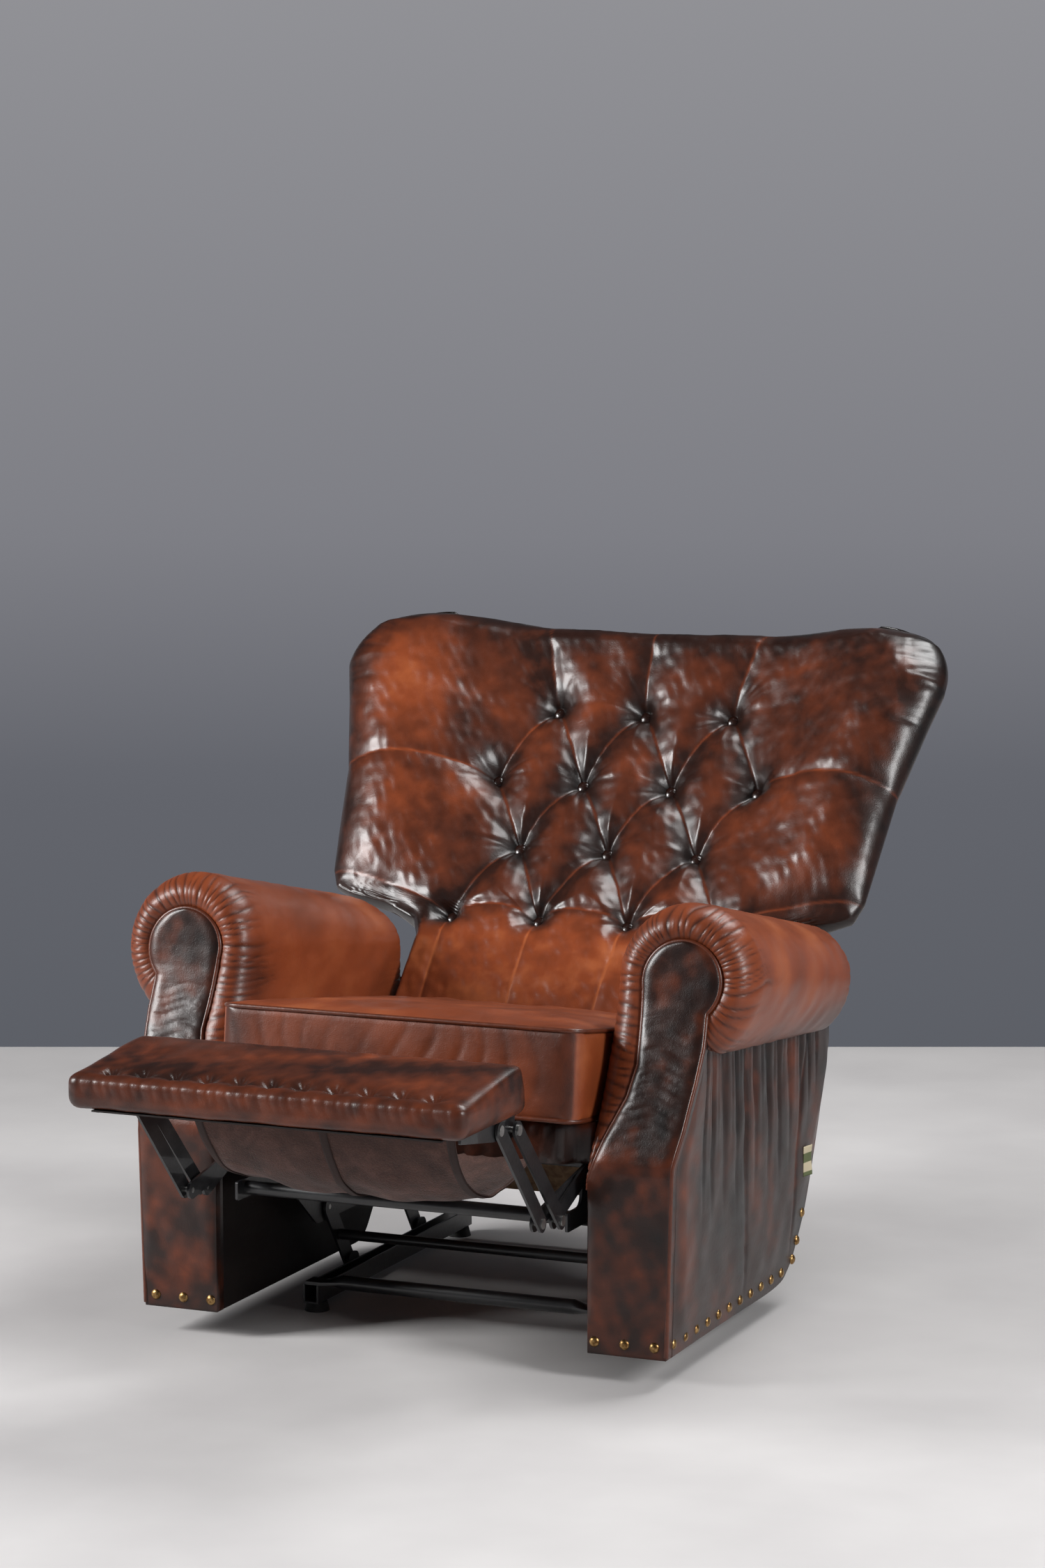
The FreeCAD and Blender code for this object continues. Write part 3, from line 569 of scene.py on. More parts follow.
def make_back(finish):
    """Centre and wings as one buttoned cover, closed round its rim."""
    x, up = back_grid(3.2)
    front, rim, rear = back_levels(x, up)
    away = rim_distance(x, up, outline(x, up))
    edge = profile(((-20, 16), (120, 18), (170, 40), (250, 92), (640, 92), (735, 70)), up)
    edge = edge * (0.55 + 0.45 * smooth((np.abs(x) - 120) / 220))
    swell = np.sqrt(1 - (1 - np.clip(away / edge, 0, 1)) ** 2)

    drop = np.zeros(x.shape)
    fold_line = np.zeros(x.shape)
    for line, depth, softness in pleats():
        nearest, along = distance_to(line, x, up)
        swing = 1 + 0.25 * np.cos(along * math.tau)
        drop = np.maximum(drop, depth * swing * (1 - np.clip(nearest / softness, 0, 1)) ** 1.8)
        fold_line = np.maximum(fold_line, bell(nearest, 2.2))
    pit = np.zeros(x.shape)
    for row in button_rows():
        for spot_x, spot_up in row:
            away_from = np.hypot(x - spot_x, up - spot_up)
            pit = np.maximum(pit, 0.62 * (1 - np.clip(away_from / 62, 0, 1)) ** 2.2
                             + 0.38 * bell(away_from, 15))
    crease = np.zeros(x.shape)
    for start_x, start_up, angle, length, depth, width in pull_lines():
        along = (x - start_x) * math.cos(angle) + (up - start_up) * math.sin(angle)
        beside = -(x - start_x) * math.sin(angle) + (up - start_up) * math.cos(angle)
        share = np.clip(along / length, 0, 1)
        fade = np.sin(math.pi * share ** 0.6) * ((along > 0) & (along < length))
        crease = np.maximum(crease, depth * fade * bell(beside, width * (0.7 + share)))
    drop *= 1 - 0.85 * smooth((up - 640) / 70)
    level = front + 4 - drop - 17 * pit - crease
    spots = on_back(x, up, front)
    level += 1.3 * waves(spots, 75, 11) + 0.4 * waves(spots, 22, 12)
    front_points = on_back(x, up, rim + (level - rim) * swell)
    rear_points = on_back(x, up, rim + (rear - rim) * swell)

    tone = 0.52 + 0.06 * waves(spots, 120, 21) + 0.04 * waves(spots, 45, 22)
    tone -= 0.10 * smooth((x - 150) / 200) * smooth((up - 330) / 160)
    tone -= 0.16 * smooth((up - 640) / 60)
    tone += 0.34 * (1 - smooth((up - 100) / 110)) * (np.abs(x) < 262)
    for amount, spot_x, width, spot_up, height in RUBBED:
        tone += amount * np.exp(-((x - spot_x) / width) ** 2 - ((up - spot_up) / height) ** 2)
    stained_rim = 0.34 * np.exp(-away / 26) * smooth((up - 120) / 60)
    # The rim's stain is the leather's own colour; the darkening in the button pits, pleat valleys and
    # pull creases is painted shade.
    tone -= stained_rim + 0.24 * pit + 0.013 * drop + 0.04 * crease
    tone += 0.30 * fold_line * (1 - pit)
    rear_tone = 0.24 + 0.08 * waves(rear_points, 90, 23)

    rows, columns = x.shape
    index = np.arange(rows * columns).reshape(rows, columns)
    rear_index = index + rows * columns
    for edge in (np.s_[0, :], np.s_[-1, :], np.s_[:, 0], np.s_[:, -1]):
        rear_index[edge] = index[edge]
    front_faces = sheet_faces(rows, columns)
    rear_faces = rear_index.ravel()[front_faces][:, ::-1]
    points = np.concatenate([front_points.reshape(-1, 3), rear_points.reshape(-1, 3)])
    faces = np.concatenate([front_faces, rear_faces])
    used, faces = np.unique(faces, return_inverse=True)
    tones = np.concatenate([tone.ravel(), rear_tone.ravel()])
    cover = build("back_cover", points[used], faces.reshape(-1, 4), tones[used])
    dress(cover, "backrest", finish["back"],
          ("back_pad", "wing_pad_left", "wing_pad_right"))
    return x, up, level


def make_buttons(finish, x, up, level):
    """Covered domes that sit at the bottom of their pits."""
    polar = np.linspace(0, 0.62 * math.pi, 12)[:, None]
    turn = np.linspace(0, math.tau, 33)[None, :-1]
    ring = BUTTON_RADIUS * np.sin(polar)
    rise = 1.5 + 7.5 * np.cos(polar)
    for number, (spot_x, spot_up) in enumerate(spot for row in button_rows() for spot in row):
        nearest = np.argmin(np.hypot(x - spot_x, up - spot_up))
        points = on_back(spot_x + ring * np.cos(turn), spot_up + ring * np.sin(turn),
                         level.ravel()[nearest] + rise)
        closed = np.concatenate([points, points[:, :1]], 1)
        piece = shell(f"back_button_{number + 1:02d}", closed, None, 1.2)
        dress(piece, "backrest", finish["button"],
              ("back_buttons",) if number == 0 else ())


FRAME_HALF, FRAME_TOP, FRAME_REAR = 265.0, 648.0, -160.0


def make_outside_back(finish):
    """The leather panel behind the back: flat over the frame, then drawn in to the wings."""
    cover_x, cover_up = back_grid(9.0)
    keep = (cover_up[:, 0] >= 2) & (cover_up[:, 0] <= 690)
    x, up = cover_x[keep] * 0.91, cover_up[keep]
    x *= np.maximum(x[:, -1:], FRAME_HALF) / x[:, -1:]
    _, rim, rear = back_levels(x, up)
    inside = rim_distance(x, up, outline(cover_x, cover_up))
    swell = np.sqrt(1 - (1 - np.clip(inside / 60, 0, 1)) ** 2)
    cover = rim + (rear - rim) * swell - 2
    beyond = np.maximum(np.abs(x) - FRAME_HALF + 1, up - FRAME_TOP).clip(0)
    level = np.minimum(cover, FRAME_REAR + (cover - FRAME_REAR) * smooth(beyond / 42))
    level += 0.8 * waves(on_back(x, up, level), 140, 32)
    x, up, level = (np.pad(values, ((1, 0), (1, 1)), mode="edge") for values in (x, up, level))
    level[0] += 40
    level[1:, 0] += 40
    level[1:, -1] += 40
    points = on_back(x, up, level)
    tone = 0.34 + 0.08 * waves(points, 150, 31)
    tone -= 0.10 * np.exp(-rim_distance(x, up, outline(x, up)) / 30)
    piece = shell("outside_back", points, tone, 3.0)
    dress(piece, "backrest", finish["dark"], ("back_outer_panel",))
    edge = np.concatenate([points[1:, 1], points[-1, 2:-2], points[:0:-1, -2]])
    tube("outside_back_piping", edge, 3.2, "backrest", finish["dark_piping"])


# ---------------------------------------------------------------- arms

SCROLL_X, SCROLL_Z, SCROLL_RADIUS = 391.0, 556.0, 57.0
ROLL_FRONT, ROLL_REAR = 104.0, 78.0
ROLL_END_Y, ROLL_END_Z = 645.0, 487.0
ROLL_INNER_REAR = 114.0
ROLL_HANG = 15.0
ROLL_CAP = 40.0
ROLL_TURN, ROLL_BODY = 52.0, 450.0
OUTER_FACE = 407.2
FRONT_LEAN = ((0, 0), (300, 0), (314, 2), (326, 6), (340, 12), (400, 39), (450, 63), (480, 77),
              (505, 87), (530, 95), (560, 102), (590, 107), (613, 110))
FACE_INNER = ((0, 291), (285, 291), (345, 311), (400, 335), (443, 342), (500, 338), (545, 335))
FACE_OUTER = ((0, 407), (310, 415), (360, 424), (424, 431), (470, 434), (512, 432))


def face_y(z):
    """How far the arm's front has leaned back at a height."""
    return profile(FRONT_LEAN, z)


def face_edges(z):
    """Inner and outer edge of the arm's front at a height."""
    round_half = np.sqrt(np.clip(SCROLL_RADIUS ** 2 - (z - SCROLL_Z) ** 2, 0, None))
    inner = np.where(z < 545, profile(FACE_INNER, z), SCROLL_X - round_half)
    outer = np.where(z < 516, profile(FACE_OUTER, z), SCROLL_X + round_half)
    return inner, outer


def scroll(start, end, count):
    """Part of the circle that the piping follows round the scroll, in degrees."""
    turn = np.radians(np.linspace(start, end, count))
    return joined(SCROLL_X + SCROLL_RADIUS * np.cos(turn), SCROLL_Z + SCROLL_RADIUS * np.sin(turn))


def piping_line():
    """The seam round the front, from its inner foot over the scroll to its outer foot."""
    up_leg = np.linspace(285, 540, 93)
    down_leg = np.linspace(510, 44, 186)
    return np.concatenate([joined(face_edges(up_leg)[0], up_leg), scroll(194, -44, 186),
                           joined(face_edges(down_leg)[1], down_leg)])


def make_facing(side, sign, finish):
    """The keyhole front of an arm: crowned leather, wrinkled where it narrows."""
    levels = np.concatenate([np.linspace(40, 500, 150),
                             SCROLL_Z + SCROLL_RADIUS * np.sin(np.linspace(-1.2, 1.565, 60))])
    levels = np.sort(levels)[:, None]
    inner, outer = face_edges(levels)
    middle, half = (inner + outer) / 2, (outer - inner) / 2
    across = np.sin(np.linspace(-1, 1, 46) * math.pi / 2)[None, :]
    x = middle + half * across
    z = np.broadcast_to(levels, x.shape)
    edge = half * (1 - np.abs(across))
    crown = 6.5 * np.sqrt(1 - (1 - np.clip(edge / 16, 0, 1)) ** 2)
    above_nails = smooth((z - 66) / 50)
    points = joined(x, face_y(z) - crown * 0.8 * above_nails - 0.2, z)
    narrow = bell(z - 400, 62) + 0.6 * bell(z - 470, 30)
    crease = folds(z + 5 * np.sin(x / 13 + 1) + 0.05 * x, 15.0, 41 + sign)
    rough = 1.5 * narrow * crease + 0.4 * waves(points, 40, 42) * above_nails
    points[..., 1] += rough * np.clip(edge / 14, 0, 1)
    behind = joined(x, face_y(z) + 20, z)
    left = [behind[:, :1], 0.5 * (behind[:, :1] + points[:, :1])]
    right = [0.5 * (behind[:, -1:] + points[:, -1:]), behind[:, -1:]]
    points = np.concatenate([*left, points, *right], 1)
    under = points[:1].copy()
    under[..., 1] = 20
    points = np.concatenate([under, points], 0)
    tone = 0.36 + 0.10 * waves(points, 95, 43 + sign) + 0.07 * waves(points, 34, 44)
    # Painted highlight along the shoulder fold, and painted shade over the wrinkled, back-leaning neck.
    tone += 0.14 * bell(points[..., 2] - 318, 16) - 0.12 * bell(points[..., 2] - 410, 60)
    points[..., 0] *= sign
    piece = shell(f"arm_facing_{side}", points, tone, 1.2)
    dress(piece, "chair_body", finish["dark"], (f"front_panel_{side}",))


def arm_sections():
    """Matching outlines: the piping on the arm's front, and the full roll behind it."""
    turn = np.radians(np.linspace(180, -60, 170))
    leg = np.linspace(272, SCROLL_Z, 96)[:-1]
    seam = np.concatenate([joined(face_edges(leg)[0], leg), scroll(180, -60, 170)])
    tail = np.linspace(0, 1, 12)[1:]
    last = seam[-1]
    neck = np.array([433.0, 474.0])
    seam = np.concatenate([seam, last + (neck - last) * tail[:, None]])
    return seam, leg, turn, tail


def roll_section(share, leg, turn, tail):
    """The arm's outline at one place along it: inner leg, roll and tuck under its outside."""
    radius = ROLL_FRONT + (ROLL_REAR - ROLL_FRONT) * share
    inner = ROLL_FRONT + (ROLL_INNER_REAR - ROLL_FRONT) * smooth(share)
    centre_z = SCROLL_Z + (ROLL_END_Z - SCROLL_Z) * share
    shrink = smooth((leg - 400) / (SCROLL_Z - 400))
    leg_z = leg + (centre_z - SCROLL_Z) * shrink
    across = np.where(np.cos(turn) < 0, inner, radius)
    tall = radius + ROLL_HANG * np.clip(-np.sin(turn), 0, 1)
    ring = joined(SCROLL_X + across * np.cos(turn), centre_z + tall * np.sin(turn))
    last = ring[-1]
    tuck = np.array([409.0, centre_z - radius * 0.84])
    return np.concatenate([joined(SCROLL_X - inner, leg_z), ring,
                           last + (tuck - last) * tail[:, None]])


def make_arm(side, sign, finish):
    """The padded arm: gathered round its scroll, then a smooth roll that falls to the rear."""
    seam, leg, turn, tail = arm_sections()
    start_y = face_y(seam[:, 1])
    rows, reach = [], []
    front = roll_section(0.0, leg, turn, tail)
    for share in np.linspace(0, 1, 22):
        swing = share * math.pi / 2
        flat = seam + (front - seam) * math.sin(swing)
        y = start_y + 6 - 12 * math.sin(math.pi * share ** 0.8) + 40 * (1 - math.cos(swing))
        rows.append(joined(flat[:, 0], y, flat[:, 1]))
        reach.append(ROLL_TURN * share)
    ring_y = rows[-1][:, 1].copy()
    body_end = ROLL_END_Y - ROLL_CAP
    for share in np.linspace(0, 1, 110)[1:]:
        flat = roll_section(share, leg, turn, tail)
        rows.append(joined(flat[:, 0], ring_y + (body_end - ring_y) * share, flat[:, 1]))
        reach.append(ROLL_TURN + ROLL_BODY * share)
    last = rows[-1]
    heart = joined(SCROLL_X, last[:, 1], np.minimum(last[:, 2], ROLL_END_Z))
    heart[len(leg):, 2] = ROLL_END_Z
    for turn_out in np.linspace(0, math.pi / 2, 22)[1:]:
        row = heart + (last - heart) * max(math.cos(turn_out), 0.02)
        row[:, 1] = body_end + ROLL_CAP * math.sin(turn_out)
        rows.append(row)
        reach.append(ROLL_TURN + ROLL_BODY + 80 * turn_out)
    points = np.array(rows)
    reach = np.array(reach)[:, None]
    place = travelled(front)[None, :]
    length = 44 + 16 * np.sin(place / 19 + 1) + 13 * np.sin(place / 7.3) + 8 * np.sin(place / 3.1)
    gather = bell(np.clip(reach - 18, 0, None), length) * np.clip(reach / 9, 0, 1)
    warp = place + 9 * np.sin(place / 31 + sign) + 0.16 * reach * np.sin(place / 43)
    warp = warp + 2.4 * np.sin(place / 9 + reach / 21)
    crease = folds(warp + 3.2 * np.sin(reach / 17 + place / 60), 12.5, 51)
    short = folds(warp * 1.04 + 3, 8.0, 52) * bell(np.clip(reach - 12, 0, None), 22)
    normal = np.cross(np.gradient(points, axis=0), np.gradient(points, axis=1))
    normal /= np.maximum(np.linalg.norm(normal, axis=2), 1e-9)[..., None]
    normal *= np.sign((normal * (points - [SCROLL_X - 40, 350, 480])).sum(-1).mean())
    depth = gather * (1.6 * crease + 0.7 * short) - 0.5 * waves(points, 60, 53) * (1 - gather)
    depth = depth + 1.4 * (folds(place, 26.0, 54) * bell(reach - 545, 50))
    points = points - normal * depth[..., None]
    # Painted shade in the gathers' creases and over the gathered band.
    tone = 0.80 + 0.06 * waves(points, 130, 55 + sign) - 0.34 * gather * crease - 0.12 * gather
    round_roll = np.degrees(np.arctan2(points[..., 0] - SCROLL_X, points[..., 2] - 500))
    # Painted shade on the roll's outer underside.
    tone -= 0.26 * smooth((round_roll - 95) / 55)
    # Painted shade at the roll's rear end where it meets the back; a thin band right behind the front
    # seam is darker too.
    tone -= 0.16 * bell(reach - 540, 70) + 0.12 * bell(reach, 8)
    # Painted highlight on the gathers' ridges.
    tone += 0.10 * gather * (1 - crease) * short
    points[..., 0] *= sign
    piece = shell(f"arm_cover_{side}", points, tone, 2.4)
    dress(piece, "chair_body", finish["arm"], (f"arm_roll_{side}",))
    x, z = piping_line().T
    tube(f"arm_piping_{side}", joined(sign * x, face_y(z) + 0.5, z), 3.4, "chair_body",
         finish["piping"])


SIDE_FOOT = ((0, 20, 40), (0, 240, 40), (0, 450, 40), (0, 512, 56), (0, 556, 96), (0, 596, 150),
             (0, 650, 262), (0, 694, 372))


def make_side(side, sign, finish):
    """Outside of the arm: leather drawn up in soft gathers under the roll, with two seams."""
    foot = smooth_line(SIDE_FOOT, 7.0)
    lengths = travelled(foot)
    share = np.linspace(0, 1, 170)
    foot = joined(*(np.interp(share * lengths[-1], lengths, values) for values in foot.T))
    head_y = 74 + (694 - 74) * share ** 1.12
    fall = np.clip((head_y - 90) / 555, 0, 1)
    head_z = SCROLL_Z - ROLL_FRONT * 0.82 + fall * (-(SCROLL_Z - ROLL_END_Z)
                                                    + (ROLL_FRONT - ROLL_REAR) * 0.82)
    head = joined(0.0, head_y, head_z)
    rise = spaced(0.0, 1.0, 0.012, 0.04, 6)[:, None]
    points = foot[None] + (head - foot)[None] * rise[..., None]
    share = share[None, :]
    z = points[..., 2]
    straight = foot[0, 1] + (head[0, 1] - foot[0, 1]) * rise
    points[..., 1] += (1 - share) ** 6 * (face_y(z) + 20 - straight)
    y = points[..., 1]
    inside = smooth(rise / 0.16) * smooth(share / 0.05) * smooth((1 - share) / 0.06)
    gather = smooth((rise - 0.30) / 0.62) * smooth((y - 95) / 40) * smooth((660 - y) / 50)
    crease = folds(y + 5 * np.sin(rise * 7) + 10, 46.0, 61)
    fine = folds(y * 1.02 + 20, 21.0, 62)
    hang = 4.5 * inside - gather * (6.5 * crease + 2.4 * fine * rise ** 3)
    flare = profile(FACE_OUTER, z) - 407
    seams = np.minimum(np.abs(y - 315 - 6 * (rise - 0.5)), np.abs(y - (512 + 88 * rise) + 3))
    hang -= 2.6 * np.exp(-seams / 4.5) * inside
    points[..., 0] = OUTER_FACE + hang + flare * (1 - smooth(y / 240)) * 0.9
    points[..., 0] += 0.6 * waves(points, 70, 63) * inside
    tone = 0.27 + 0.10 * waves(points * [1, 1.5, 0.5], 110, 64 + sign) + 0.06 * waves(points, 38, 65)
    # Paler along the two seams; the darkening in the gathers' creases is painted shade.
    tone += 0.22 * np.exp(-seams / 2.4) * inside - 0.16 * gather * crease
    tone += 0.14 * bell(y - 50, 50)
    points = np.concatenate([wrap_inward(points[:1], 2), points, wrap_inward(points[-1:], 1)], 0)
    # The rows turned in under the bottom edge are darker: painted shade.
    tone = np.concatenate([tone[:1] - 0.1, tone[:1] - 0.1, tone, tone[-1:]], 0)
    rear = points[:, -1:] + [-6, 6, 0]
    closing = rear.copy()
    closing[..., 0] = 304
    points = np.concatenate([points, rear, 0.5 * (rear + closing), closing], 1)
    tone = np.pad(tone, ((0, 0), (0, 3)), mode="edge")
    points[..., 0] *= sign
    piece = shell(f"side_cover_{side}", points, tone, 1.0)
    dress(piece, "chair_body", finish["dark"], (f"side_panel_{side}",))


def wrap_inward(edge, count):
    """Extra rows that take an edge of the outside round towards the arm's inside."""
    return np.concatenate([edge - [3 if number == 1 else 100, 0, 1.5]
                           for number in range(count, 0, -1)], 0)


# ---------------------------------------------------------------- seat

SEAT_HALF, SEAT_DEPTH, SEAT_HEIGHT = 281.0, 514.0, 116.0
SEAT_FRONT, SEAT_FLOOR, SEAT_CORNER = -22.0, 366.0, 30.0
SEAT_SLOPE = math.radians(6.5)


def tilt_seat(points):
    """Seat coordinates (across, back along the seat, up from its underside) to the chair's."""
    x, along, up = np.moveaxis(points, -1, 0)
    up = up * (1 + 0.17 * (1 - along / SEAT_DEPTH))
    return joined(x, SEAT_FRONT + along * math.cos(SEAT_SLOPE) + up * math.sin(SEAT_SLOPE),
                  SEAT_FLOOR - along * math.sin(SEAT_SLOPE) + up * math.cos(SEAT_SLOPE))


def vertex_places(mesh):
    flat = np.empty(len(mesh.vertices) * 3)
    mesh.vertices.foreach_get("co", flat)
    return flat.reshape(-1, 3)


def inflate(piece, pinned, cap):
    """Blow a closed cover up with cloth simulation, holding its seams and limiting its swell."""
    group = piece.vertex_groups.new(name="seams")
    group.add(np.flatnonzero(pinned).tolist(), 1.0, "REPLACE")
    rest = vertex_places(piece.data)
    scene = bpy.context.scene
    modifier = piece.modifiers.new("cloth", "CLOTH")
    cloth = modifier.settings
    cloth.use_pressure = True
    cloth.uniform_pressure_force = 4.0
    cloth.effector_weights.gravity = 0
    cloth.vertex_group_mass = group.name
    cloth.quality = 5
    cloth.tension_stiffness = 18
    cloth.compression_stiffness = 18
    cloth.bending_stiffness = 0.6
    modifier.point_cache.frame_start, modifier.point_cache.frame_end = 1, 20
    for number in range(1, 21):
        scene.frame_set(number)
    graph = bpy.context.evaluated_depsgraph_get()
    result = bpy.data.meshes.new_from_object(piece.evaluated_get(graph))
    shift = vertex_places(result) - rest
    piece.modifiers.remove(modifier)
    scene.frame_set(1)
    far = np.linalg.norm(shift, axis=1)[:, None]
    shift *= np.minimum(1.0, cap * MM / np.maximum(far, 1e-9))
    piece.data.vertices.foreach_set("co", (rest + shift).ravel())
    piece.data.update()
    bpy.data.meshes.remove(result)


def make_seat(finish):
    """Box cushion: crowned top, full front border, piped round its top and bottom."""
    half = np.array([SEAT_HALF, SEAT_DEPTH / 2, SEAT_HEIGHT / 2])
    straight = half[:2] - SEAT_CORNER
    points, out, faces = rounded_block(half, 14.0, 5.0)
    over = np.clip(np.abs(points[:, :2]) - straight, 0, None)
    reach = np.linalg.norm(over, axis=1)
    scale = np.where(reach > SEAT_CORNER, SEAT_CORNER / np.maximum(reach, 1e-9), 1.0)[:, None]
    core = np.clip(np.abs(points[:, :2]), 0, straight)
    points[:, :2] = np.sign(points[:, :2]) * (core + over * scale)
    local = points + half * [0, 1, 1]
    across, along, up = local.T
    piece = build("seat_cushion_cover", tilt_seat(local), faces)
    seam_gap = np.minimum(np.abs(up - (SEAT_HEIGHT - 7)), np.abs(up - 7))
    level = np.abs(out[:, 2])
    inflate(piece, (level < 0.94) & (level > 0.2) & (seam_gap < 9), 13.0)
    place = vertex_places(piece.data) / MM - [0, ARM_FRONT / MM, 0]
    top = smooth((out[:, 2] - 0.3) / 0.5)
    front = smooth((-out[:, 1] - 0.5) / 0.4)
    crown = (1 - (across / SEAT_HALF) ** 2).clip(0) * np.sin(math.pi * (along / SEAT_DEPTH).clip(0, 1))
    place[:, 2] += 7 * top * crown.clip(0)
    crease = folds(across + 16 * np.sin(up / 26 + across / 90), 41.0, 71)
    middle = np.sin(math.pi * (up / SEAT_HEIGHT).clip(0, 1))
    place[:, 1] += front * ((1.5 + 0.9 * np.sin(across / 61)) * crease * middle)
    diagonal = folds(along + 0.4 * across, 46.0, 73) * bell(np.abs(across) - 225, 60)
    place[:, 2] -= top * (0.9 * waves(local, 70, 72) + diagonal)
    piece.data.vertices.foreach_set("co", chair(place).ravel())
    # Painted shade in the front border's creases and towards its ends beside the arms; the whole front
    # face is also painted darker than the top.
    tone = 0.76 + 0.07 * waves(local, 110, 74) - 0.08 * front * crease
    tone -= 0.22 * front * smooth((np.abs(across) - 200) / 80)
    set_tone(piece.data, tone - 0.16 * front)
    piece.data.shade_smooth()
    piece.data.update()
    dress(piece, "chair_body", finish["seat"], ("seat_cushion",))

    turn = np.radians(np.linspace(0, 90, 9))
    radius = SEAT_CORNER - 2
    for name, height in (("top", SEAT_HEIGHT - 4.0), ("bottom", 4.0)):
        loop = []
        for quarter, (side_x, side_y) in enumerate(((1, 1), (-1, 1), (-1, -1), (1, -1))):
            angle = turn + quarter * math.pi / 2
            loop.append(joined(side_x * straight[0] + radius * np.cos(angle),
                               half[1] + side_y * straight[1] + radius * np.sin(angle), height))
        tube(f"seat_piping_{name}", tilt_seat(np.concatenate(loop)), 3.6, "chair_body",
             finish["piping"], closed=True)


def make_apron(finish):
    """The soft band under the cushion's front, tucked between the arms."""
    half = np.array([288.0, 13.0, 31.0])
    centre = np.array([0.0, 30.0, 331.0])
    points, out, faces = rounded_block(half, 11.0, 7.0)
    x, y, z = points.T
    sag = 5 * (1 - (x / half[0]) ** 2)
    crease = folds(x + 9 * np.sin(z / 10), 30.0, 75)
    front = smooth((-out[:, 1] - 0.2) / 0.5)
    end = smooth((np.abs(x) - 240) / 20)
    y += 14 * end * (out[:, 1] < 0.5) - front * (7 - 5 * crease) * (1 - end)
    z -= sag * smooth(-out[:, 2])
    # Painted shade: darker in the creases, and on the faces tucked under the cushion than on the front.
    tone = 0.26 + 0.10 * waves(points, 80, 76) + 0.06 * front - 0.10 * crease
    piece = build("front_apron_cover", points + centre, faces, tone)
    dress(piece, "chair_body", finish["dark"], ("front_apron",))


# ---------------------------------------------------------------- footrest

TUFT_COUNT, TUFT_PITCH = 11, 47.5


def make_footrest(finish):
    """Thin pad with a row of star tufts just behind its front edge."""
    low, high = local_box("footrest_pad")
    board_low = local_box("footrest_board")[0]
    low[2] = board_low[2] + 1.0
    half, centre = (high - low) / 2, (high + low) / 2
    half[0] += 8.0
    points, out, faces = rounded_block(half, 17.0, 2.6)
    x, y, z = points.T
    top = smooth((out[:, 2] - 0.2) / 0.6)
    front = smooth((-out[:, 1] - 0.2) / 0.6)
    tuft_y = -half[1] + 36
    drop, star = np.zeros((2, len(points)))
    for number in range(TUFT_COUNT):
        dx, dy = x - (number - 5) * TUFT_PITCH, y - tuft_y
        away = np.hypot(dx, dy)
        rays = np.abs(np.cos(np.arctan2(dy, dx) * 4 + number * 1.7)) ** 3
        drop += 11.0 * np.exp(-(away / 12) ** 1.2) + 3.4 * rays * bell(away - 10, 9)
        star += rays * bell(away, 15)
    drop += 4.2 * np.exp(-np.abs(y - tuft_y) / 7) * (np.abs(x) < 5.3 * TUFT_PITCH)
    crown = 4.0 * (1 - (y / half[1]) ** 2) * (1 - (x / half[0]) ** 4)
    pulls = folds(x + 4 * np.sin(z / 9), 15.8, 81)
    z += top * (crown - drop - 2.5 + 18 * smooth(0.5 + 0.5 * y / half[1]))
    y += front * (0.9 * pulls * smooth((z + half[2] * 0.4) / 18))
    points += out * (0.5 * waves(points, 60, 82))[:, None]
    tone = 0.45 + 0.09 * waves(points * [0.5, 1, 1], 95, 83) + 0.05 * waves(points, 30, 84)
    # Painted shade in the tufts' dimples and the groove joining them; the band along the front face
    # comes out a little lighter.
    tone -= 0.016 * drop * top - 0.08 * bell(y + half[1], 22)
    # Painted highlight on the tufts' star rays.
    tone += 0.16 * star * top
    piece = build("footrest_cover", points + centre, faces, tone)
    dress(piece, "footrest", finish["dark"], ("footrest_pad", "footrest_board"))

    dust = np.array([half[0] - 36, half[1] - 9, 1.2])
    points, out, faces = rounded_block(dust, 0.6, 20.0)
    cloth = build("footrest_dust_cover", points + [centre[0], centre[1], low[2] - 1.4], faces)
    cloth.data.materials.append(finish["lining"])
    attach(cloth, "footrest")


FLAP_PATH = ((0, -262, 416), (0, -226, 345), (0, -176, 292), (0, -112, 270), (0, -48, 278),
             (0, 8, 300), (0, 32, 322))
FLAP_HALF, FLAP_SQUASH_TO = 200.0, (0, 51, 322)


def make_flap(finish):
    """Suede hung between the footrest and the apron, with bound edges and a middle seam."""
    line = smooth_line(FLAP_PATH, 5.0)
    across = np.linspace(-1, 1, 131)
    share = np.linspace(0, 1, len(line))[:, None]
    x = FLAP_HALF * across[None, :] * (1 - 0.05 * np.sin(math.pi * share))
    points = joined(x, line[:, 1:2], line[:, 2:3])
    loose = np.sin(math.pi * share)
    ripple = waves(points, 120, 91) * 3.0 + waves(points, 45, 92)
    edge_lift = 9 * np.abs(across[None, :]) ** 4
    points[..., 2] += loose * (ripple - 5 * (1 - across[None, :] ** 2) + edge_lift)
    piece = shell("calf_flap_suede", points, None, 2.6)
    piece.data.materials.append(finish["suede"])
    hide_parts("calf_flap")
    fold_flap(piece)
    below = points + [0, 0, -2.2]
    for name, columns in (("left", slice(0, 5)), ("right", slice(-5, None)),
                          ("middle", slice(63, 68))):
        band = below[:, columns].copy()
        if name == "middle":
            band[..., 2] -= 1.2
        trim = shell(f"calf_flap_seam_{name}", band, np.full(band.shape[:2], 0.22), 2.2)
        trim.data.materials.append(finish["lining"])
        fold_flap(trim)


def fold_flap(piece):
    """The flap rides on the chair, with its thickness baked into its own mesh."""
    graph = bpy.context.evaluated_depsgraph_get()
    solid_mesh = bpy.data.meshes.new_from_object(piece.evaluated_get(graph))
    piece.modifiers.clear()
    piece.data = solid_mesh
    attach(piece, "chair_body")
    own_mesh(piece)


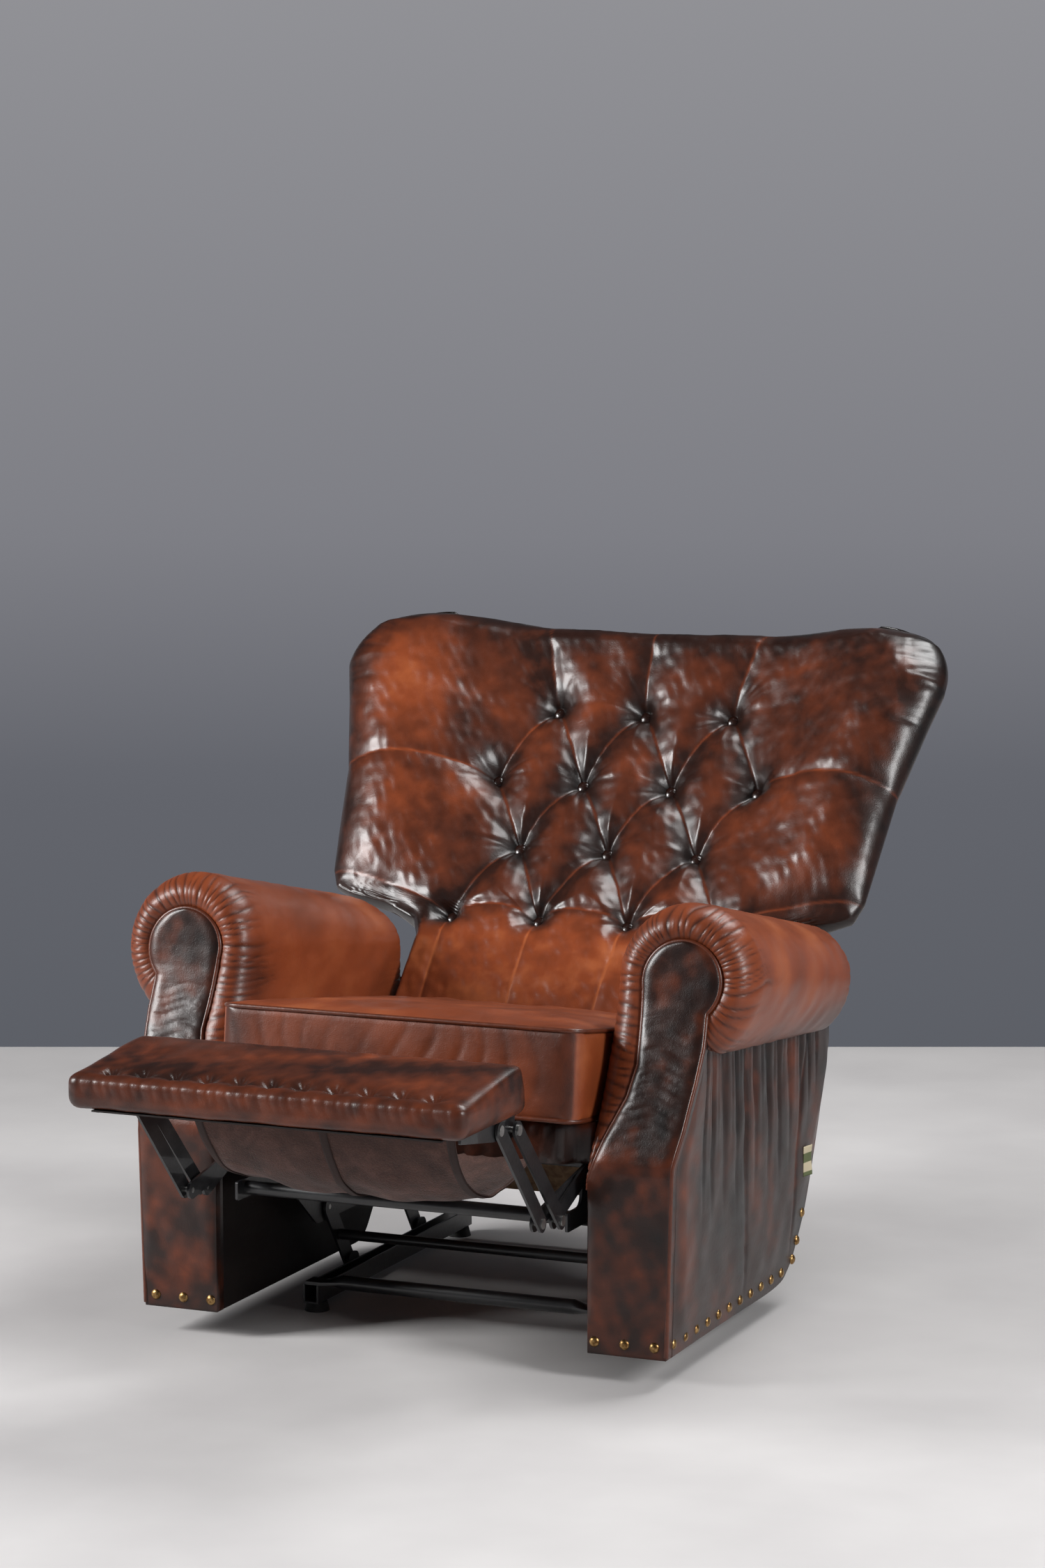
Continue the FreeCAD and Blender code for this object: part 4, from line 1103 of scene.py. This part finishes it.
def make_label(finish):
    """A short loop of plain woven tape caught in the side's rear seam."""
    low, high = local_box("woven_label")
    y = np.linspace(low[1], high[1], 12)[None, :]
    z = np.linspace(low[2], high[2], 20)[:, None]
    lift = 1.0 + 5.0 * smooth((y - low[1]) / (high[1] - low[1])) * (0.8 + 0.2 * np.sin(z / 9))
    piece = shell("woven_label_tape", joined(low[0] + 4.5 + lift, y, z), None, 0.8)
    dress(piece, "chair_body", finish["label"], ("woven_label",))


NAIL_RADIUS, NAIL_HEIGHT = 7.8, 5.2


def make_nails(finish):
    """Domed nail heads in the places where the CAD has its nails."""
    node = frame["nodes"]["decorative_nails"].data
    work = bmesh.new()
    work.from_mesh(node)
    bmesh.ops.remove_doubles(work, verts=work.verts, dist=1e-6)
    left = set(work.verts)
    places = []
    while left:
        front = [left.pop()]
        island = list(front)
        while front:
            vertex = front.pop()
            near = [edge.other_vert(vertex) for edge in vertex.link_edges]
            new = [other for other in near if other in left]
            left.difference_update(new)
            front += new
            island += new
        corners = np.array([vertex.co for vertex in island]) / MM - [0, ARM_FRONT / MM, 0]
        places.append((corners.min(0), corners.max(0)))
    work.free()
    polar = np.linspace(0, math.pi / 2, 7)[:, None]
    turn = np.linspace(0, math.tau, 25)[None, :]
    flat = NAIL_RADIUS * np.sin(polar)
    rise = NAIL_HEIGHT * np.cos(polar)
    points, faces = [], []
    for low, high in sorted(places, key=lambda pair: tuple(np.round(pair[0], 2))):
        x, y, z = (low + high) / 2
        height = z + flat * np.sin(turn)
        if abs(x) > 405:
            dome = joined(math.copysign(1, x) * (OUTER_FACE + rise), y + flat * np.cos(turn), height)
        else:
            dome = joined(x + flat * np.cos(turn), -rise, height)
        faces.append(sheet_faces(*dome.shape[:2], sum(len(part) for part in points)))
        points.append(dome.reshape(-1, 3))
    heads = build("nail_heads", np.concatenate(points), np.concatenate(faces))
    dress(heads, "chair_body", finish["nail_brass"], ("decorative_nails",))


# ---------------------------------------------------------------- steel and timber

def finish_nodes(finish):
    """Give each CAD node that stays in view the finish of its material slot."""
    hidden_leather = {"timber": "timber", "suede": "suede", "label_cloth": "label"}
    for part in frame["record"]["subparts"]:
        node, slot = part["node"], part["material_slot"]
        # The inner panels take the near-black lining, which also stands in for the shade under the seat
        # (painted shade).
        key = "lining" if node.startswith("inner_panel") else hidden_leather.get(slot, slot)
        mesh = frame["nodes"][node].data
        mesh.materials.clear()
        mesh.materials.append(finish.get(key, finish["dark"]))


# ---------------------------------------------------------------- stage

# Each soft box's name, place, width and power.
LIGHTS = (("key_softbox", (-3.2, -2.4, 2.3), 1.4, 260.0),
          ("right_softbox", (3.5, -1.2, 2.0), 1.0, 105.0),
          ("top_softbox", (1.0, 1.3, 3.2), 1.3, 80.0))
LIGHT_TARGET = Vector((0.0, 0.0, 0.45))
AZIMUTH, PITCH = math.radians(23), math.radians(7)
# A grey studio wall by height: floor glow, pale band behind the chair, dark above.
WALL = ((0.380, (0.50, 0.49, 0.49)), (0.400, (0.105, 0.112, 0.130)), (0.440, (0.125, 0.130, 0.150)),
        (0.470, (0.210, 0.212, 0.235)), (0.540, (0.290, 0.290, 0.310)), (0.600, (0.045, 0.045, 0.050)))
FLOOR_REACH = 2.09


def aim(name, data, place, direction):
    """A light or the camera, looking along a direction."""
    holder = add_object(name, data)
    holder.location = place
    holder.rotation_mode = "QUATERNION"
    holder.rotation_quaternion = direction.to_track_quat("-Z", "Y")
    return holder


def make_stage():
    """Pale floor, soft boxes and the camera."""
    material, tree, shader = new_material("pale_floor")
    spots = noise(tree, 2.2, 6.0)
    colour = ramp(tree, spots, [(0.3, (0.50, 0.485, 0.485)), (0.7, (0.60, 0.585, 0.58))])
    tree.links.new(colour, shader.inputs["Base Color"])
    put(shader, Roughness=0.6)
    bump(tree, shader, noise(tree, 30.0, 6.0), 0.001, 0.2)
    along = Vector((-math.sin(AZIMUTH), math.cos(AZIMUTH), 0)) * FLOOR_REACH
    beside = Vector((math.cos(AZIMUTH), math.sin(AZIMUTH), 0)) * FLOOR_REACH * 1.4
    corners = [-along - beside, beside - along, along + beside, along - beside]
    mesh = bpy.data.meshes.new("floor")
    mesh.from_pydata(corners, [], [(0, 1, 2, 3)])
    mesh.materials.append(material)
    add_object("floor", mesh)

    for name, place, extent, power in LIGHTS:
        light = bpy.data.lights.new(name, "AREA")
        light.shape = "RECTANGLE"
        light.size, light.size_y = extent, extent * 1.2
        light.energy = power
        aim(name, light, place, LIGHT_TARGET - Vector(place))

    world = bpy.data.worlds.new("studio")
    world.use_nodes = True
    tree = world.node_tree
    parts = tree.nodes.new("ShaderNodeSeparateXYZ")
    direction = tree.nodes.new("ShaderNodeTexCoord").outputs["Generated"]
    tree.links.new(direction, parts.inputs["Vector"])
    height = maths(tree, "MULTIPLY_ADD", parts.outputs["Z"], 0.5, 0.5)
    tree.links.new(ramp(tree, height, WALL), tree.nodes["Background"].inputs["Color"])
    bpy.context.scene.world = world
    bpy.context.scene.view_settings.view_transform = "Standard"

    camera = bpy.data.cameras.new("camera")
    camera.lens, camera.sensor_width = 94.4, 36.0
    camera.clip_start, camera.clip_end = 0.1, 60.0
    forward = Vector((-math.sin(AZIMUTH) * math.cos(PITCH), math.cos(AZIMUTH) * math.cos(PITCH),
                      -math.sin(PITCH)))
    bpy.context.scene.camera = aim("camera", camera, (2.402, -5.5532, 1.532), forward)


# ---------------------------------------------------------------- the chair

finish = make_materials()
finish_nodes(finish)
make_stage()
make_seat(finish)
x, up, level = make_back(finish)
make_buttons(finish, x, up, level)
make_outside_back(finish)
for side, sign in SIDES.items():
    make_facing(side, sign, finish)
    make_arm(side, sign, finish)
    make_side(side, sign, finish)
make_apron(finish)
make_footrest(finish)
make_flap(finish)
make_label(finish)
make_nails(finish)
